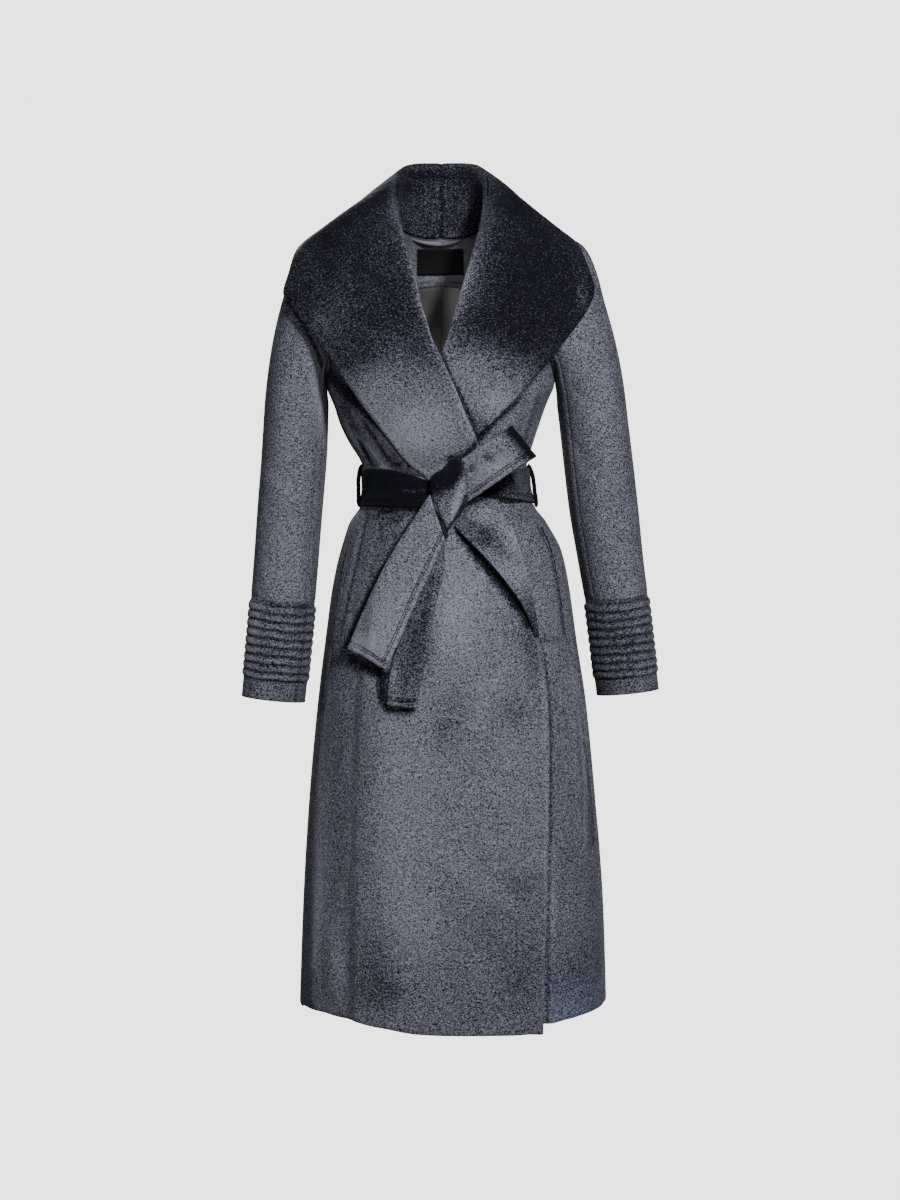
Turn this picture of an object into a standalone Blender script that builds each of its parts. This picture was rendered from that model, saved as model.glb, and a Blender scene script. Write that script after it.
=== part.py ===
"""A long wrap coat with a wide shawl collar, a tie belt and ribbed cuffs, kept in its worn, hollow form.

Metres, +Z up. The front faces -Y and the wearer's left side is +X. The origin lies between the
shoulders, level with the back neck seam. Every cloth piece is a closed wall, worked out from
sections of the coat (named tables below) and moved out by its place in the stack of layers.
"""

import bpy
import numpy as np

# ---------------------------------------------------------------- driving dimensions
CLOTH = 0.0024            # thickness of one layer of coat cloth
COLLAR_CLOTH = 0.0022     # thickness of the collar's wall
LINING_CLOTH = 0.0010
OVER_FRONT = 0.0048       # how far the right front is carried out over the left front,
OVER_LAPEL = 0.0038       # and how much more over the left lapel
SEAM = 0.0004             # room left at a seam, on each side of it
LAPEL_SEAM = 0.0028       # and between a lapel's turned part and the front, hidden by the fall
HEM_LEVEL = -1.0835       # height of the outer hem
UNDER_HEM_RISE = 0.0085   # the under front's free corner hangs a little higher
CHEST_LEVEL = -0.120      # above this level the sections tilt with the shoulders
SHOULDER_PEAK = 0.045     # height where the two shoulder slopes would meet
SHOULDER_SLOPE = 0.36
# How roundly the chest and the back turn over into the shoulder: two powers for each
ROLLOVER_FRONT = (1.35, 0.60)
ROLLOVER_BACK = (2.20, 0.50)
SECTION_POWER = 2.3       # 2 is an ellipse, more is squarer
UNDERARM_LEVEL = -0.200
NECK_HALF_WIDTH = 0.0765
NECK_BACK_DEPTH = 0.0790

BELT_TOP = -0.326
BELT_BOTTOM = -0.377
BELT_THICKNESS = 0.0040
BELT_CLEARANCE = 0.0016   # room between the belt and the coat
BELT_OVER_FRONTS = 0.0100  # more room in front, where both fronts and the lapels lie under it
BELT_END_THICKNESS = 0.0034
BELT_CROWN = 0.0030       # how far the middle of a belt end stands out over its edges
BELT_HALF_GAP = 2.0       # degrees between the knot's middle and each end of the band
KNOT_ANGLE = 4.0
LOOP_FOLD = 0.0064        # half the depth of the bow's loop at its fold
LOOP_START_DEPTH = 0.1235  # how far in front of the origin the loop starts
LOOP_REACH = 0.0150       # how much further forward it ends

RIB_COUNT = 9
RIB_PITCH = 0.0116
RIB_HEIGHT = 0.0026
RIB_START = 0.006         # plain strip between the cuff's seam and its first rib

# Body sections: level, half width, centre, depth in front and depth behind of the outer face
BODY = np.array([
    # level   half_w  centre  front   back
    (-1.0950, 0.2168, 0.0172, 0.1605, 0.1500),
    (-0.9380, 0.2107, 0.0178, 0.1540, 0.1460),
    (-0.7940, 0.2002, 0.0165, 0.1475, 0.1410),
    (-0.6520, 0.1868, 0.0158, 0.1400, 0.1360),
    (-0.5640, 0.1750, 0.0143, 0.1335, 0.1310),
    (-0.4910, 0.1651, 0.0141, 0.1270, 0.1250),
    (-0.4380, 0.1535, 0.0143, 0.1195, 0.1170),
    (-0.4010, 0.1365, 0.0125, 0.1090, 0.1050),
    (-0.3770, 0.1200, 0.0095, 0.0990, 0.0950),
    (-0.3520, 0.1140, 0.0075, 0.0950, 0.0895),
    (-0.3260, 0.1135, 0.0060, 0.0965, 0.0900),
    (-0.2890, 0.1260, 0.0030, 0.1060, 0.1000),
    (-0.2460, 0.1420, 0.0010, 0.1145, 0.1085),
    (-0.2100, 0.1525, 0.0000, 0.1185, 0.1130),
    (-0.1700, 0.1580, 0.0000, 0.1190, 0.1150),
    (-0.1200, 0.1620, 0.0000, 0.1160, 0.1130),
    (-0.0600, 0.1700, 0.0000, 0.1140, 0.1120),
    (0.0000, 0.1780, 0.0000, 0.1120, 0.1100),
])

# Soft folds of the skirt: angle from the front, its drift per metre down, top and bottom level,
# half width in degrees, and how far it stands out (or in, below zero)
FOLDS = np.array([
    # angle  drift   top    bottom  width  relief
    (-50.0, 6.0, -0.640, -1.020, 9.0, -0.0050),
    (-27.0, 0.0, -0.560, -1.300, 13.0, 0.0045),
    (-60.0, 0.0, -0.820, -1.300, 6.0, 0.0030),
    (-4.0, -22.0, -0.620, -0.860, 8.0, -0.0030),
    (11.0, 0.0, -0.700, -1.300, 12.0, 0.0030),
    (32.0, 8.0, -0.800, -1.300, 10.0, -0.0028),
    (74.0, 4.0, -0.480, -0.950, 8.0, 0.0030),
    (112.0, -6.0, -0.385, -1.300, 10.0, 0.0060),
    (137.0, 0.0, -0.385, -1.300, 10.0, -0.0065),
    (160.0, 4.0, -0.385, -1.300, 11.0, 0.0060),
    (186.0, 0.0, -0.385, -1.100, 10.0, -0.0055),
    (208.0, -4.0, -0.385, -1.300, 11.0, 0.0060),
    (230.0, 4.0, -0.385, -1.300, 10.0, -0.0065),
    (254.0, 4.0, -0.385, -1.300, 10.0, 0.0055),
])

# How much higher the hem hangs towards the sides: angle from the front, rise
HEM_RISE = np.array([
    (-180.0, 0.0040), (-120.0, 0.0065), (-80.0, 0.0075), (-35.0, 0.0010), (0.0, 0.0),
    (45.0, 0.0010), (80.0, 0.0135), (130.0, 0.0070), (180.0, 0.0040)])
HEM_FADE = (-0.800, -1.060)    # levels between which that rise comes in

# Side seam: level and angle from the front
SIDE_SEAM = np.array([
    (-1.100, 76.0), (-0.800, 73.0), (-0.564, 67.0), (-0.490, 66.0), (-0.405, 66.0),
    (-0.326, 68.0), (-0.260, 78.0), (UNDERARM_LEVEL, 90.0), (0.000, 90.0)])

# Armhole: level, and its angle from the front on the front panel and on the back panel
ARMHOLE = np.array([
    # level           front   back
    (UNDERARM_LEVEL, 89.0, 91.0),
    (-0.190, 78.0, 101.0),
    (-0.165, 67.0, 112.0),
    (-0.120, 60.0, 118.0),
    (-0.060, 62.0, 114.0),
    (-0.025, 69.0, 107.0),
    (-0.008, 78.0, 99.0),
    (0.000, 86.5, 93.5)])

# The surface that bridges from the chest to the upper arm, under the outer part of the lapels
SUPPORT = np.array([
    # level   half_w  front
    (-0.600, 0.1800, 0.1300), (-0.326, 0.1135, 0.0925), (-0.289, 0.1300, 0.1020),
    (-0.246, 0.1490, 0.1105), (-0.205, 0.1720, 0.1150), (-0.165, 0.1960, 0.1155),
    (-0.130, 0.2090, 0.1110), (-0.100, 0.2150, 0.1020), (-0.070, 0.2200, 0.0880),
    (-0.034, 0.2250, 0.0690), (0.000, 0.2300, 0.0500)])
SUPPORT_BLEND = 0.003     # how softly the bridge takes over from the fronts

# Collar from the centre back to the front of the shoulder. Its section starts at the neck seam,
# climbs the stand to the roll and falls to the outer edge. turn is the way the section faces at
# the roll (180 is backwards, 90 sideways, 0 forwards), round is the roll's size and bulge lifts
# the middle of the fall over the shoulder.
COLLAR = np.array([
    # seam x, y, z           roll x, y, z             edge x, y, z              turn   round  bulge
    (0.0006, 0.0768, 0.0000, 0.0006, 0.0860, 0.1040, 0.0006, 0.1290, -0.0560, 180.0, 0.019, 0.000),
    (0.0275, 0.0715, 0.0002, 0.0270, 0.0835, 0.1035, 0.0600, 0.1270, -0.0560, 168.0, 0.018, 0.000),
    (0.0490, 0.0575, 0.0057, 0.0475, 0.0720, 0.0990, 0.1180, 0.1080, -0.0440, 145.0, 0.017, 0.003),
    (0.0660, 0.0335, 0.0125, 0.0600, 0.0500, 0.0830, 0.1690, 0.0560, -0.0120, 116.0, 0.016, 0.010),
    (0.0735, 0.0060, 0.0185, 0.0665, 0.0210, 0.0600, 0.1860, 0.0100, -0.0060, 94.0, 0.014, 0.014),
    (0.0718, -0.0215, 0.0110, 0.0635, -0.0110, 0.0340, 0.2010, -0.0300, -0.0400, 70.0, 0.012, 0.026),
    (0.0650, -0.0520, -0.0135, 0.0560, -0.0440, 0.0030, 0.2110, -0.0460, -0.0800, 42.0, 0.009, 0.026),
])
# How much further the collar reaches over each shoulder, and each of its sections' share of it
COLLAR_REACH = {-1: (0.0055, 0.0, -0.0050), 1: (0.0, 0.0, 0.0)}
REACH_SHARE = np.array([0.0, 0.1, 0.5, 1.0, 1.0, 1.0, 0.8])
COLLAR_CLEARANCE = 0.0045  # room kept under the fall of the collar over the fronts

# Lapels from the shoulder down to where they end: roll and outer edge in the front view, the
# width turned under, the roll's half height, the height of the cloth it springs from, and the
# height of its outer edge above the front
LAPEL_RIGHT = np.array([
    # roll x, z         edge x, z         under   round   base    edge_h
    (-0.0450, -0.0340, -0.1980, -0.1085, 0.015, 0.0065, 0.0020, 0.0060),
    (-0.0350, -0.0700, -0.1760, -0.1391, 0.014, 0.0060, 0.0000, 0.0060),
    (-0.0265, -0.1048, -0.1537, -0.1720, 0.014, 0.0055, -0.0010, 0.0070),
    (-0.0145, -0.1375, -0.1310, -0.2030, 0.014, 0.0050, -0.0005, 0.0090),
    (-0.0010, -0.1680, -0.1100, -0.2320, 0.014, 0.0042, 0.0043, 0.0120),
    (0.0139, -0.2070, -0.0870, -0.2620, 0.014, 0.0040, 0.0070, 0.0145),
    (0.0306, -0.2428, -0.0640, -0.2920, 0.014, 0.0038, 0.0070, 0.0140),
    (0.0470, -0.2760, -0.0430, -0.3180, 0.014, 0.0030, 0.0064, 0.0115),
    (0.0580, -0.3200, -0.0200, -0.3350, 0.014, 0.0027, 0.0038, 0.0080),
    (0.0700, -0.3520, -0.0040, -0.3620, 0.014, 0.0027, 0.0032, 0.0072),
    (0.0830, -0.3780, 0.0080, -0.3880, 0.014, 0.0028, 0.0032, 0.0077),
    (0.0950, -0.4029, 0.0235, -0.4060, 0.014, 0.0030, 0.0032, 0.0105),
    (0.1090, -0.4430, 0.0610, -0.4440, 0.013, 0.0040, 0.0032, 0.0150),
    (0.1210, -0.4864, 0.0965, -0.4870, 0.010, 0.0038, 0.0032, 0.0145),
    (0.1285, -0.5250, 0.1190, -0.5250, 0.007, 0.0030, 0.0032, 0.0105),
    (0.1325, -0.5500, 0.1270, -0.5500, 0.004, 0.0022, 0.0032, 0.0075),
])
LAPEL_LEFT = np.array([
    # roll x, z       edge x, z         under   round   base    edge_h
    (0.0450, -0.0310, 0.1983, -0.1110, 0.015, 0.0065, 0.0020, 0.0060),
    (0.0345, -0.0650, 0.1730, -0.1450, 0.014, 0.0060, 0.0000, 0.0060),
    (0.0240, -0.1020, 0.1500, -0.1730, 0.014, 0.0050, -0.0010, 0.0065),
    (0.0120, -0.1370, 0.1270, -0.1990, 0.014, 0.0038, -0.0012, 0.0070),
    (0.0000, -0.1660, 0.1060, -0.2240, 0.014, 0.0024, -0.0012, 0.0070),
    (-0.0090, -0.2000, 0.0830, -0.2480, 0.014, 0.0019, -0.0012, 0.0065),
    (-0.0120, -0.2340, 0.0620, -0.2690, 0.014, 0.0018, -0.0012, 0.0050),
    (-0.0090, -0.2640, 0.0400, -0.2880, 0.014, 0.0018, -0.0012, 0.0032),
    (0.0000, -0.2900, 0.0220, -0.3000, 0.012, 0.0018, -0.0012, 0.0026),
])

# Front edges below the lapels: level and place across
EDGE_RIGHT = np.array([
    (-1.100, 0.1375), (-0.964, 0.1402), (-0.852, 0.1420), (-0.768, 0.1439), (-0.670, 0.1438),
    (-0.619, 0.1405), (-0.585, 0.1370), (-0.562, 0.1338)])
EDGE_LEFT = np.array([
    (-1.100, -0.1050), (-0.700, -0.0980), (-0.500, -0.0800), (-0.400, -0.0560),
    (-0.350, -0.0330), (-0.330, -0.0080), (-0.306, 0.0135)])

# Sleeves: level, centre across, half width, half depth, centre in depth
SLEEVE_RIGHT = np.array([
    (-0.2310, -0.1990, 0.0435, 0.0570, 0.0000),
    (-0.3090, -0.2038, 0.0450, 0.0560, 0.0030),
    (-0.3890, -0.2105, 0.0445, 0.0535, 0.0040),
    (-0.4740, -0.2176, 0.0448, 0.0515, -0.0040),
    (-0.5070, -0.2202, 0.0448, 0.0510, -0.0090),
    (-0.6500, -0.2331, 0.0441, 0.0500, -0.0300),
])
SLEEVE_LEFT = np.array([
    (-0.2310, 0.2085, 0.0480, 0.0580, 0.0000),
    (-0.3020, 0.2170, 0.0479, 0.0560, 0.0030),
    (-0.3730, 0.2257, 0.0476, 0.0535, 0.0040),
    (-0.4600, 0.2378, 0.0450, 0.0515, -0.0030),
    (-0.5030, 0.2442, 0.0440, 0.0510, -0.0090),
    (-0.6400, 0.2600, 0.0432, 0.0500, -0.0290),
])
CUFF_LEVELS = {-1: (-0.5075, -0.6480), 1: (-0.5035, -0.6385)}
CUFF_TILT = 0.105         # the cuff's rings drop towards the body
SLEEVE_SEAMS = (41.0, 305.0)   # angle from the inner side, over the front, of the two seams

# Inside the neck
FACING_ENDS = (162.0, 198.0)    # angles from the front
FACING_BOTTOM = -0.0800         # level of its lower edge
FACING_CLOTH = 0.0012
FACING_DEPTH = CLOTH + 0.0018   # how far in from the back's outer face it lies
LINING_DEPTH = CLOTH + 0.0029
LABEL_THICKNESS = 0.0008
HANGER_RADIUS = 0.0018
HANGER_STAND_OFF = 0.0120

CARRIER_ANGLE = 84.0
CARRIER_RADIUS = 0.0011

# Knot: level, left and right border, front and back
KNOT = np.array([
    # z       left     right   front   back
    (-0.3150, -0.0100, 0.0290, 0.1235, 0.1175),
    (-0.3260, -0.0152, 0.0325, 0.1295, 0.1175),
    (-0.3430, -0.0145, 0.0345, 0.1335, 0.1175),
    (-0.3600, -0.0125, 0.0342, 0.1350, 0.1180),
    (-0.3760, -0.0085, 0.0300, 0.1355, 0.1200),
    (-0.3920, -0.0010, 0.0235, 0.1350, 0.1230),
    (-0.4050, 0.0055, 0.0165, 0.1330, 0.1250),
    (-0.4125, 0.0085, 0.0125, 0.1310, 0.1260)])

# Colours (linear) and roughness of the materials
COAT_CLOTH = (0.046, 0.050, 0.066, 0.92)
CUFF_CLOTH = (0.050, 0.054, 0.070, 0.92)
LINING_SATIN = (0.060, 0.060, 0.062, 0.55)
LABEL_BLACK = (0.004, 0.004, 0.005, 0.60)
LOOP_SATIN = (0.110, 0.113, 0.120, 0.45)


# ---------------------------------------------------------------- curves and grids
def smooth_table(table, at):
    """Every column of a table at the keys `at`, by a cubic that never overshoots its rows."""
    order = np.argsort(table[:, 0])
    keys, values = table[order, 0], table[order, 1:]
    at = np.clip(np.asarray(at, float), keys[0], keys[-1])
    step = np.diff(keys)[:, None]
    rise = np.diff(values, axis=0) / step
    slope = np.zeros_like(values)
    same_way = rise[:-1] * rise[1:] > 0
    total = rise[:-1] + rise[1:]
    slope[1:-1] = np.where(same_way, 2 * rise[:-1] * rise[1:] / np.where(same_way, total, 1), 0)
    slope[0], slope[-1] = rise[0], rise[-1]
    row = np.clip(np.searchsorted(keys, at, side="right") - 1, 0, len(keys) - 2)
    gap = step[row, 0][..., None]
    t = (at[..., None] - keys[row][..., None]) / gap
    start, end = values[row], values[row + 1]
    return ((1 + 2 * t) * (1 - t) ** 2 * start + t * (1 - t) ** 2 * gap * slope[row]
            + t * t * (3 - 2 * t) * end + t * t * (t - 1) * gap * slope[row + 1])


def spread_rows(table, count):
    """A table's rows carried through smoothly: `count` rows, evenly spaced by row number."""
    keyed = np.column_stack([np.arange(len(table)), table])
    return smooth_table(keyed, np.linspace(0, len(table) - 1, count))


def ramp(value, start, end):
    """0 before start, 1 after end, with soft ends."""
    t = np.clip((value - start) / (end - start), 0, 1)
    return t * t * (3 - 2 * t)


def signed_power(value, power):
    return np.sign(value) * np.abs(value) ** power


def grid_normals(points):
    """Unit normals of a grid of points, from the differences along its two directions."""
    across = np.gradient(points, axis=0, edge_order=2)
    along = np.gradient(points, axis=1, edge_order=2)
    normal = np.cross(across, along)
    return normal / np.linalg.norm(normal, axis=-1, keepdims=True)


# ---------------------------------------------------------------- the coat's body form
def fold_relief(angle, level):
    """How far the skirt's soft folds stand out: a bell across each fold, faded at its ends."""
    angle, level = np.broadcast_arrays(angle, level)
    relief = np.zeros(angle.shape)
    for middle, drift, top, bottom, width, height in FOLDS:
        away = angle - middle - drift * (top - level)
        away = (away + 180) % 360 - 180
        fade = ramp(level, top, top - 0.12) * ramp(level, bottom, bottom + 0.12)
        relief += height * fade * np.exp(-(away / width) ** 2)
    return relief


def rollover(level):
    """How far a section is on its way to the shoulder line, and the depth left front and back."""
    share = np.clip((level - CHEST_LEVEL) / -CHEST_LEVEL, 0, 1)
    left = [np.maximum(1 - share ** power, 0) ** root
            for power, root in (ROLLOVER_FRONT, ROLLOVER_BACK)]
    return share, left[0], left[1]


def body_point(angle, level):
    """Points of the outer face. angle is in degrees from the front towards the wearer's left."""
    angle, level = np.broadcast_arrays(np.asarray(angle, float), np.asarray(level, float))
    half_width, centre, front, back = np.moveaxis(smooth_table(BODY, level), -1, 0)
    share, left_front, left_back = rollover(level)
    side = np.sin(np.radians(angle))
    forward = np.cos(np.radians(angle))
    depth = np.where(forward >= 0, front * left_front, back * left_back)
    relief = fold_relief(angle, level)
    x = centre + half_width * signed_power(side, 2 / SECTION_POWER) + relief * side
    y = -depth * signed_power(forward, 2 / SECTION_POWER) - relief * forward
    tilted = CHEST_LEVEL * (1 - share) + share * (SHOULDER_PEAK - SHOULDER_SLOPE * np.abs(x))
    risen = level + hem_rise(angle) * ramp(level, *HEM_FADE)
    z = np.where(level <= CHEST_LEVEL, risen, tilted)
    return np.stack([x, y, z], axis=-1)


def hem_rise(angle):
    return smooth_table(HEM_RISE, (angle + 180) % 360 - 180)[..., 0]


def level_of(x, z):
    """The level whose section passes through (x, z) in the front view."""
    reach = -CHEST_LEVEL + SHOULDER_PEAK - SHOULDER_SLOPE * np.abs(x)
    return np.where(z <= CHEST_LEVEL, z, CHEST_LEVEL * (1 - (z - CHEST_LEVEL) / reach))


def angle_of(x, level):
    """The angle from the front at which a section passes through x."""
    half_width, centre = np.moveaxis(smooth_table(BODY, level)[..., :2], -1, 0)
    across = np.clip((x - centre) / half_width, -1, 1)
    return np.degrees(np.arcsin(signed_power(across, SECTION_POWER / 2)))


def front_y(x, z):
    """The outer face of the fronts as a height field over the front view."""
    level = level_of(x, z)
    half_width, centre, front, _ = np.moveaxis(smooth_table(BODY, level), -1, 0)
    _, left_front, _ = rollover(level)
    across = np.clip(np.abs(x - centre) / half_width, 0, 0.985)
    angle = angle_of(x, level)
    y = -front * left_front * (1 - across ** SECTION_POWER) ** (1 / SECTION_POWER)
    return y - fold_relief(angle, level) * np.cos(np.radians(angle))


def support_y(x, z):
    """The surface that the lapels lie on: the fronts, bridged across to the upper arms."""
    half_width, front = np.moveaxis(smooth_table(SUPPORT, z), -1, 0)
    centre = smooth_table(BODY, level_of(x, z))[..., 1]
    across = np.clip(np.abs(x - centre) / half_width, 0, 0.97)
    bridge = -front * (1 - across ** SECTION_POWER) ** (1 / SECTION_POWER)
    fronts = front_y(x, z)
    return fronts + ramp(z, -0.326, -0.300) * (soft_least(fronts, bridge) - fronts)


def soft_least(a, b, blend=SUPPORT_BLEND):
    """The lesser of two values, rounded where they meet."""
    return (a + b - np.sqrt((a - b) ** 2 + blend ** 2)) / 2


def slant(surface, x, z):
    """How much further forward a layer must go for each metre of thickness, on a slanted face."""
    step = 0.004
    by_x = (surface(x + step, z) - surface(x - step, z)) / (2 * step)
    by_z = (surface(x, z + step) - surface(x, z - step)) / (2 * step)
    return np.minimum(np.sqrt(1 + by_x ** 2 + by_z ** 2), 1.5)


def top_layer_lift(x, z):
    """How far the right front is carried out by the left front and lapel under it."""
    under_edge = np.minimum(smooth_table(EDGE_LEFT, z)[..., 0], LAPEL_LEFT[:, 0].min())
    over_front = ramp(x, under_edge - 0.024, under_edge - 0.006) * ramp(z, -0.135, -0.180)
    over_lapel = ramp(x, -0.062, -0.030) * ramp(z, -0.140, -0.185) * ramp(z, -0.332, -0.300)
    return OVER_FRONT * over_front + OVER_LAPEL * over_lapel


# ---------------------------------------------------------------- closed walls
def new_object(name, vertices, faces, finish, flat_angle=40):
    """One closed mesh object with its own material, turned so that its faces point outwards."""
    vertices = np.asarray(vertices, float)
    corners = [(f[0], f[i], f[i + 1]) for f in faces for i in range(1, len(f) - 1)]
    a, b, c = (vertices[[corner[k] for corner in corners]] for k in range(3))
    if np.einsum("ij,ij->", a, np.cross(b, c)) < 0:
        faces = [f[::-1] for f in faces]
    mesh = bpy.data.meshes.new(name)
    mesh.from_pydata([tuple(v) for v in vertices], [], faces)
    mesh.shade_smooth()
    mesh.set_sharp_from_angle(angle=np.radians(flat_angle))
    obj = bpy.data.objects.new(name, mesh)
    bpy.context.scene.collection.objects.link(obj)
    material = bpy.data.materials.new(name)
    material.use_nodes = True
    shader = material.node_tree.nodes["Principled BSDF"]
    shader.inputs["Base Color"].default_value = (*finish[:3], 1.0)
    shader.inputs["Roughness"].default_value = finish[3]
    shader.inputs["Metallic"].default_value = 0.0
    mesh.materials.append(material)
    return obj


def wall(name, outer, inner, finish, flat_angle=40):
    """A closed wall between two grids of the same shape: two faces and the four edges."""
    rows, columns = outer.shape[:2]
    inside = rows * columns
    faces = []
    for i in range(rows - 1):
        for j in range(columns - 1):
            a, b = i * columns + j, i * columns + j + 1
            c, d = b + columns, a + columns
            faces.append((a, b, c, d))
            faces.append((inside + a, inside + d, inside + c, inside + b))
    rim = [j for j in range(columns)]
    rim += [i * columns + columns - 1 for i in range(1, rows)]
    rim += [(rows - 1) * columns + j for j in range(columns - 2, -1, -1)]
    rim += [i * columns for i in range(rows - 2, 0, -1)]
    for a, b in zip(rim, rim[1:] + rim[:1]):
        faces.append((b, a, inside + a, inside + b))
    vertices = np.concatenate([outer.reshape(-1, 3), inner.reshape(-1, 3)])
    return new_object(name, vertices, faces, finish, flat_angle)


def cloth_wall(name, surface, outwards, finish, thickness=CLOTH, lift=0.0, flat_angle=40):
    """A wall of cloth whose outer face is `surface` moved out by `lift`.

    outwards is +1 or -1, the side of the grid that faces away from the wearer.
    """
    normal = grid_normals(surface) * outwards
    lift = np.asarray(lift)[..., None]
    return wall(name, surface + normal * lift, surface + normal * (lift - thickness), finish,
                flat_angle)


def tube(name, path, radius, sides, finish):
    """A round cord along a path, closed at both ends."""
    path = np.asarray(path, float)
    along = np.gradient(path, axis=0)
    along /= np.linalg.norm(along, axis=1, keepdims=True)
    guide = np.array([0.0, 1.0, 0.13])
    first = np.cross(along, guide)
    first /= np.linalg.norm(first, axis=1, keepdims=True)
    second = np.cross(along, first)
    turn = np.linspace(0, 2 * np.pi, sides, endpoint=False)
    ring = (np.cos(turn)[None, :, None] * first[:, None] + np.sin(turn)[None, :, None]
            * second[:, None])
    vertices = (path[:, None] + radius * ring).reshape(-1, 3)
    faces = [(i * sides + j, i * sides + (j + 1) % sides,
              (i + 1) * sides + (j + 1) % sides, (i + 1) * sides + j)
             for i in range(len(path) - 1) for j in range(sides)]
    faces.append(tuple(range(sides))[::-1])
    faces.append(tuple((len(path) - 1) * sides + j for j in range(sides)))
    return new_object(name, vertices, faces, finish, 60)


# ---------------------------------------------------------------- seam lines of the panels
def side_angle(level):
    return smooth_table(SIDE_SEAM, level)[..., 0]


def seam_step(level):
    """The angle that half a seam's room takes up."""
    return np.degrees(SEAM / smooth_table(BODY, level)[..., 0])


def panel_side(level, behind):
    """Side seam up to the underarm, then the armhole, as an angle from the front."""
    column = 1 if behind else 0
    hole = smooth_table(ARMHOLE, level)[..., column]
    away = seam_step(level) if behind else -seam_step(level)
    return np.where(level < UNDERARM_LEVEL, side_angle(level) + away, hole)


# Neck seam of the fronts, from the shoulder to the top of the lapel: places in the front view
NECK_SEAM = np.array([(0.0765, 0.0175), (0.0735, 0.0100), (0.0665, -0.0140)])


def front_edge_angle(lapel, edge, side, level):
    """The front's inner boundary: the neck, then behind the lapel's roll, then the free edge."""
    under_x = lapel[:, 0] + side * (lapel[:, 4] + LAPEL_SEAM)
    under_z = under_height(lapel)
    x = np.concatenate([side * NECK_SEAM[:, 0], under_x, edge[:, 1]])
    keys = level_of(x, np.concatenate([NECK_SEAM[:, 1], under_z, edge[:, 0]]))
    keys[0] = 0.0
    return smooth_table(np.column_stack([keys, angle_of(x, keys)]), level)[..., 0]


def under_height(lapel):
    """Heights of the line where the lapel's turned part meets the front."""
    return lapel[:, 1] - 0.35 * lapel[:, 4] * ramp(lapel[:, 1], -0.30, -0.15)


# ---------------------------------------------------------------- panels
LOWER_LEVELS = np.array([
    -0.9600, -0.8400, -0.7300, -0.6400, -0.5650, -0.5520, -0.5000, -0.4500, -0.4100, -0.3770,
    -0.3520, -0.3260, -0.3000, -0.2720, -0.2400, UNDERARM_LEVEL - 0.0040])
UPPER_LEVELS = np.array([
    -0.1990, -0.1920, -0.1780, -0.1550, -0.1250, -0.1020, -0.0820, -0.0520, -0.0280, -0.0120,
    -0.0040, -0.00001])
PANEL_LEVELS = np.concatenate([[HEM_LEVEL], LOWER_LEVELS, UPPER_LEVELS])


def panel_wall(name, surface, outwards, raised, keep_to):
    """A panel's wall, its points above the underarm kept to their own side of the shoulder.

    keep_to is -1 for the fronts and +1 for the back.
    """
    normal = grid_normals(surface) * outwards
    raised = np.asarray(raised)[..., None]
    outer = surface + normal * raised
    inner = surface + normal * (raised - CLOTH)
    above = PANEL_LEVELS > UNDERARM_LEVEL
    for points in (outer, inner):
        points[above, :, 1] = keep_to * np.maximum(keep_to * points[above, :, 1], SEAM)
    return wall(name, outer, inner, COAT_CLOTH)


def build_front(name, side, lapel, edge, columns, lift, free_rise):
    """One front panel. side is -1 for the wearer's right and +1 for the left."""
    start = side * panel_side(PANEL_LEVELS, behind=False)
    end = front_edge_angle(lapel, edge, side, PANEL_LEVELS)
    share = np.linspace(0, 1, columns)
    angle = start[:, None] + (end - start)[:, None] * share
    rise = free_rise * ramp(share, 0.0, 0.25)[None, :]
    level = PANEL_LEVELS[:, None] + rise * ramp(PANEL_LEVELS[:, None], *HEM_FADE)
    surface = body_point(angle, level)
    surface[..., 1] -= SEAM
    raised = lift(surface[..., 0], surface[..., 2]) if lift else 0.0
    return panel_wall(name, surface, side, raised, -1)


def build_back(columns=21):
    """The back: one panel, its top rows drawn down in the middle onto the neck seam's oval."""
    share = np.linspace(-1, 1, columns)
    scoop = neck_scoop(180 + 86.5 * share)
    level = PANEL_LEVELS[:, None] + ramp_share(PANEL_LEVELS)[:, None] * scoop[None, :]
    start = panel_side(PANEL_LEVELS, behind=True)
    angle = 180 + (180 - start)[:, None] * share
    surface = body_point(angle, level)
    surface[..., 1] += SEAM
    return panel_wall("back", surface, -1, 0.0, 1)


def ramp_share(level):
    """How much of the neck's scoop each of the back's rows takes: none below the chest."""
    return np.clip((level + 0.115) / 0.115, 0, 1)


def neck_scoop(angle):
    """The level at which the back meets the oval of the neck seam, for angles from the front."""
    trial = np.linspace(-0.060, -0.00001, 300)
    x, y, _ = np.moveaxis(body_point(angle[:, None], trial), -1, 0)
    inside = (x / NECK_HALF_WIDTH) ** 2 + (y / NECK_BACK_DEPTH) ** 2 - 1
    return np.array([np.interp(0, -row, trial) for row in inside])


# ---------------------------------------------------------------- collar and lapels
def bezier(a, b, c, d, t):
    """A cubic from a to d with the handles b and c, at every t."""
    t = t[None, :, None]
    a, b, c, d = (p[:, None] for p in (a, b, c, d))
    return (1 - t) ** 3 * a + 3 * t * (1 - t) ** 2 * b + 3 * t * t * (1 - t) * c + t ** 3 * d


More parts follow.
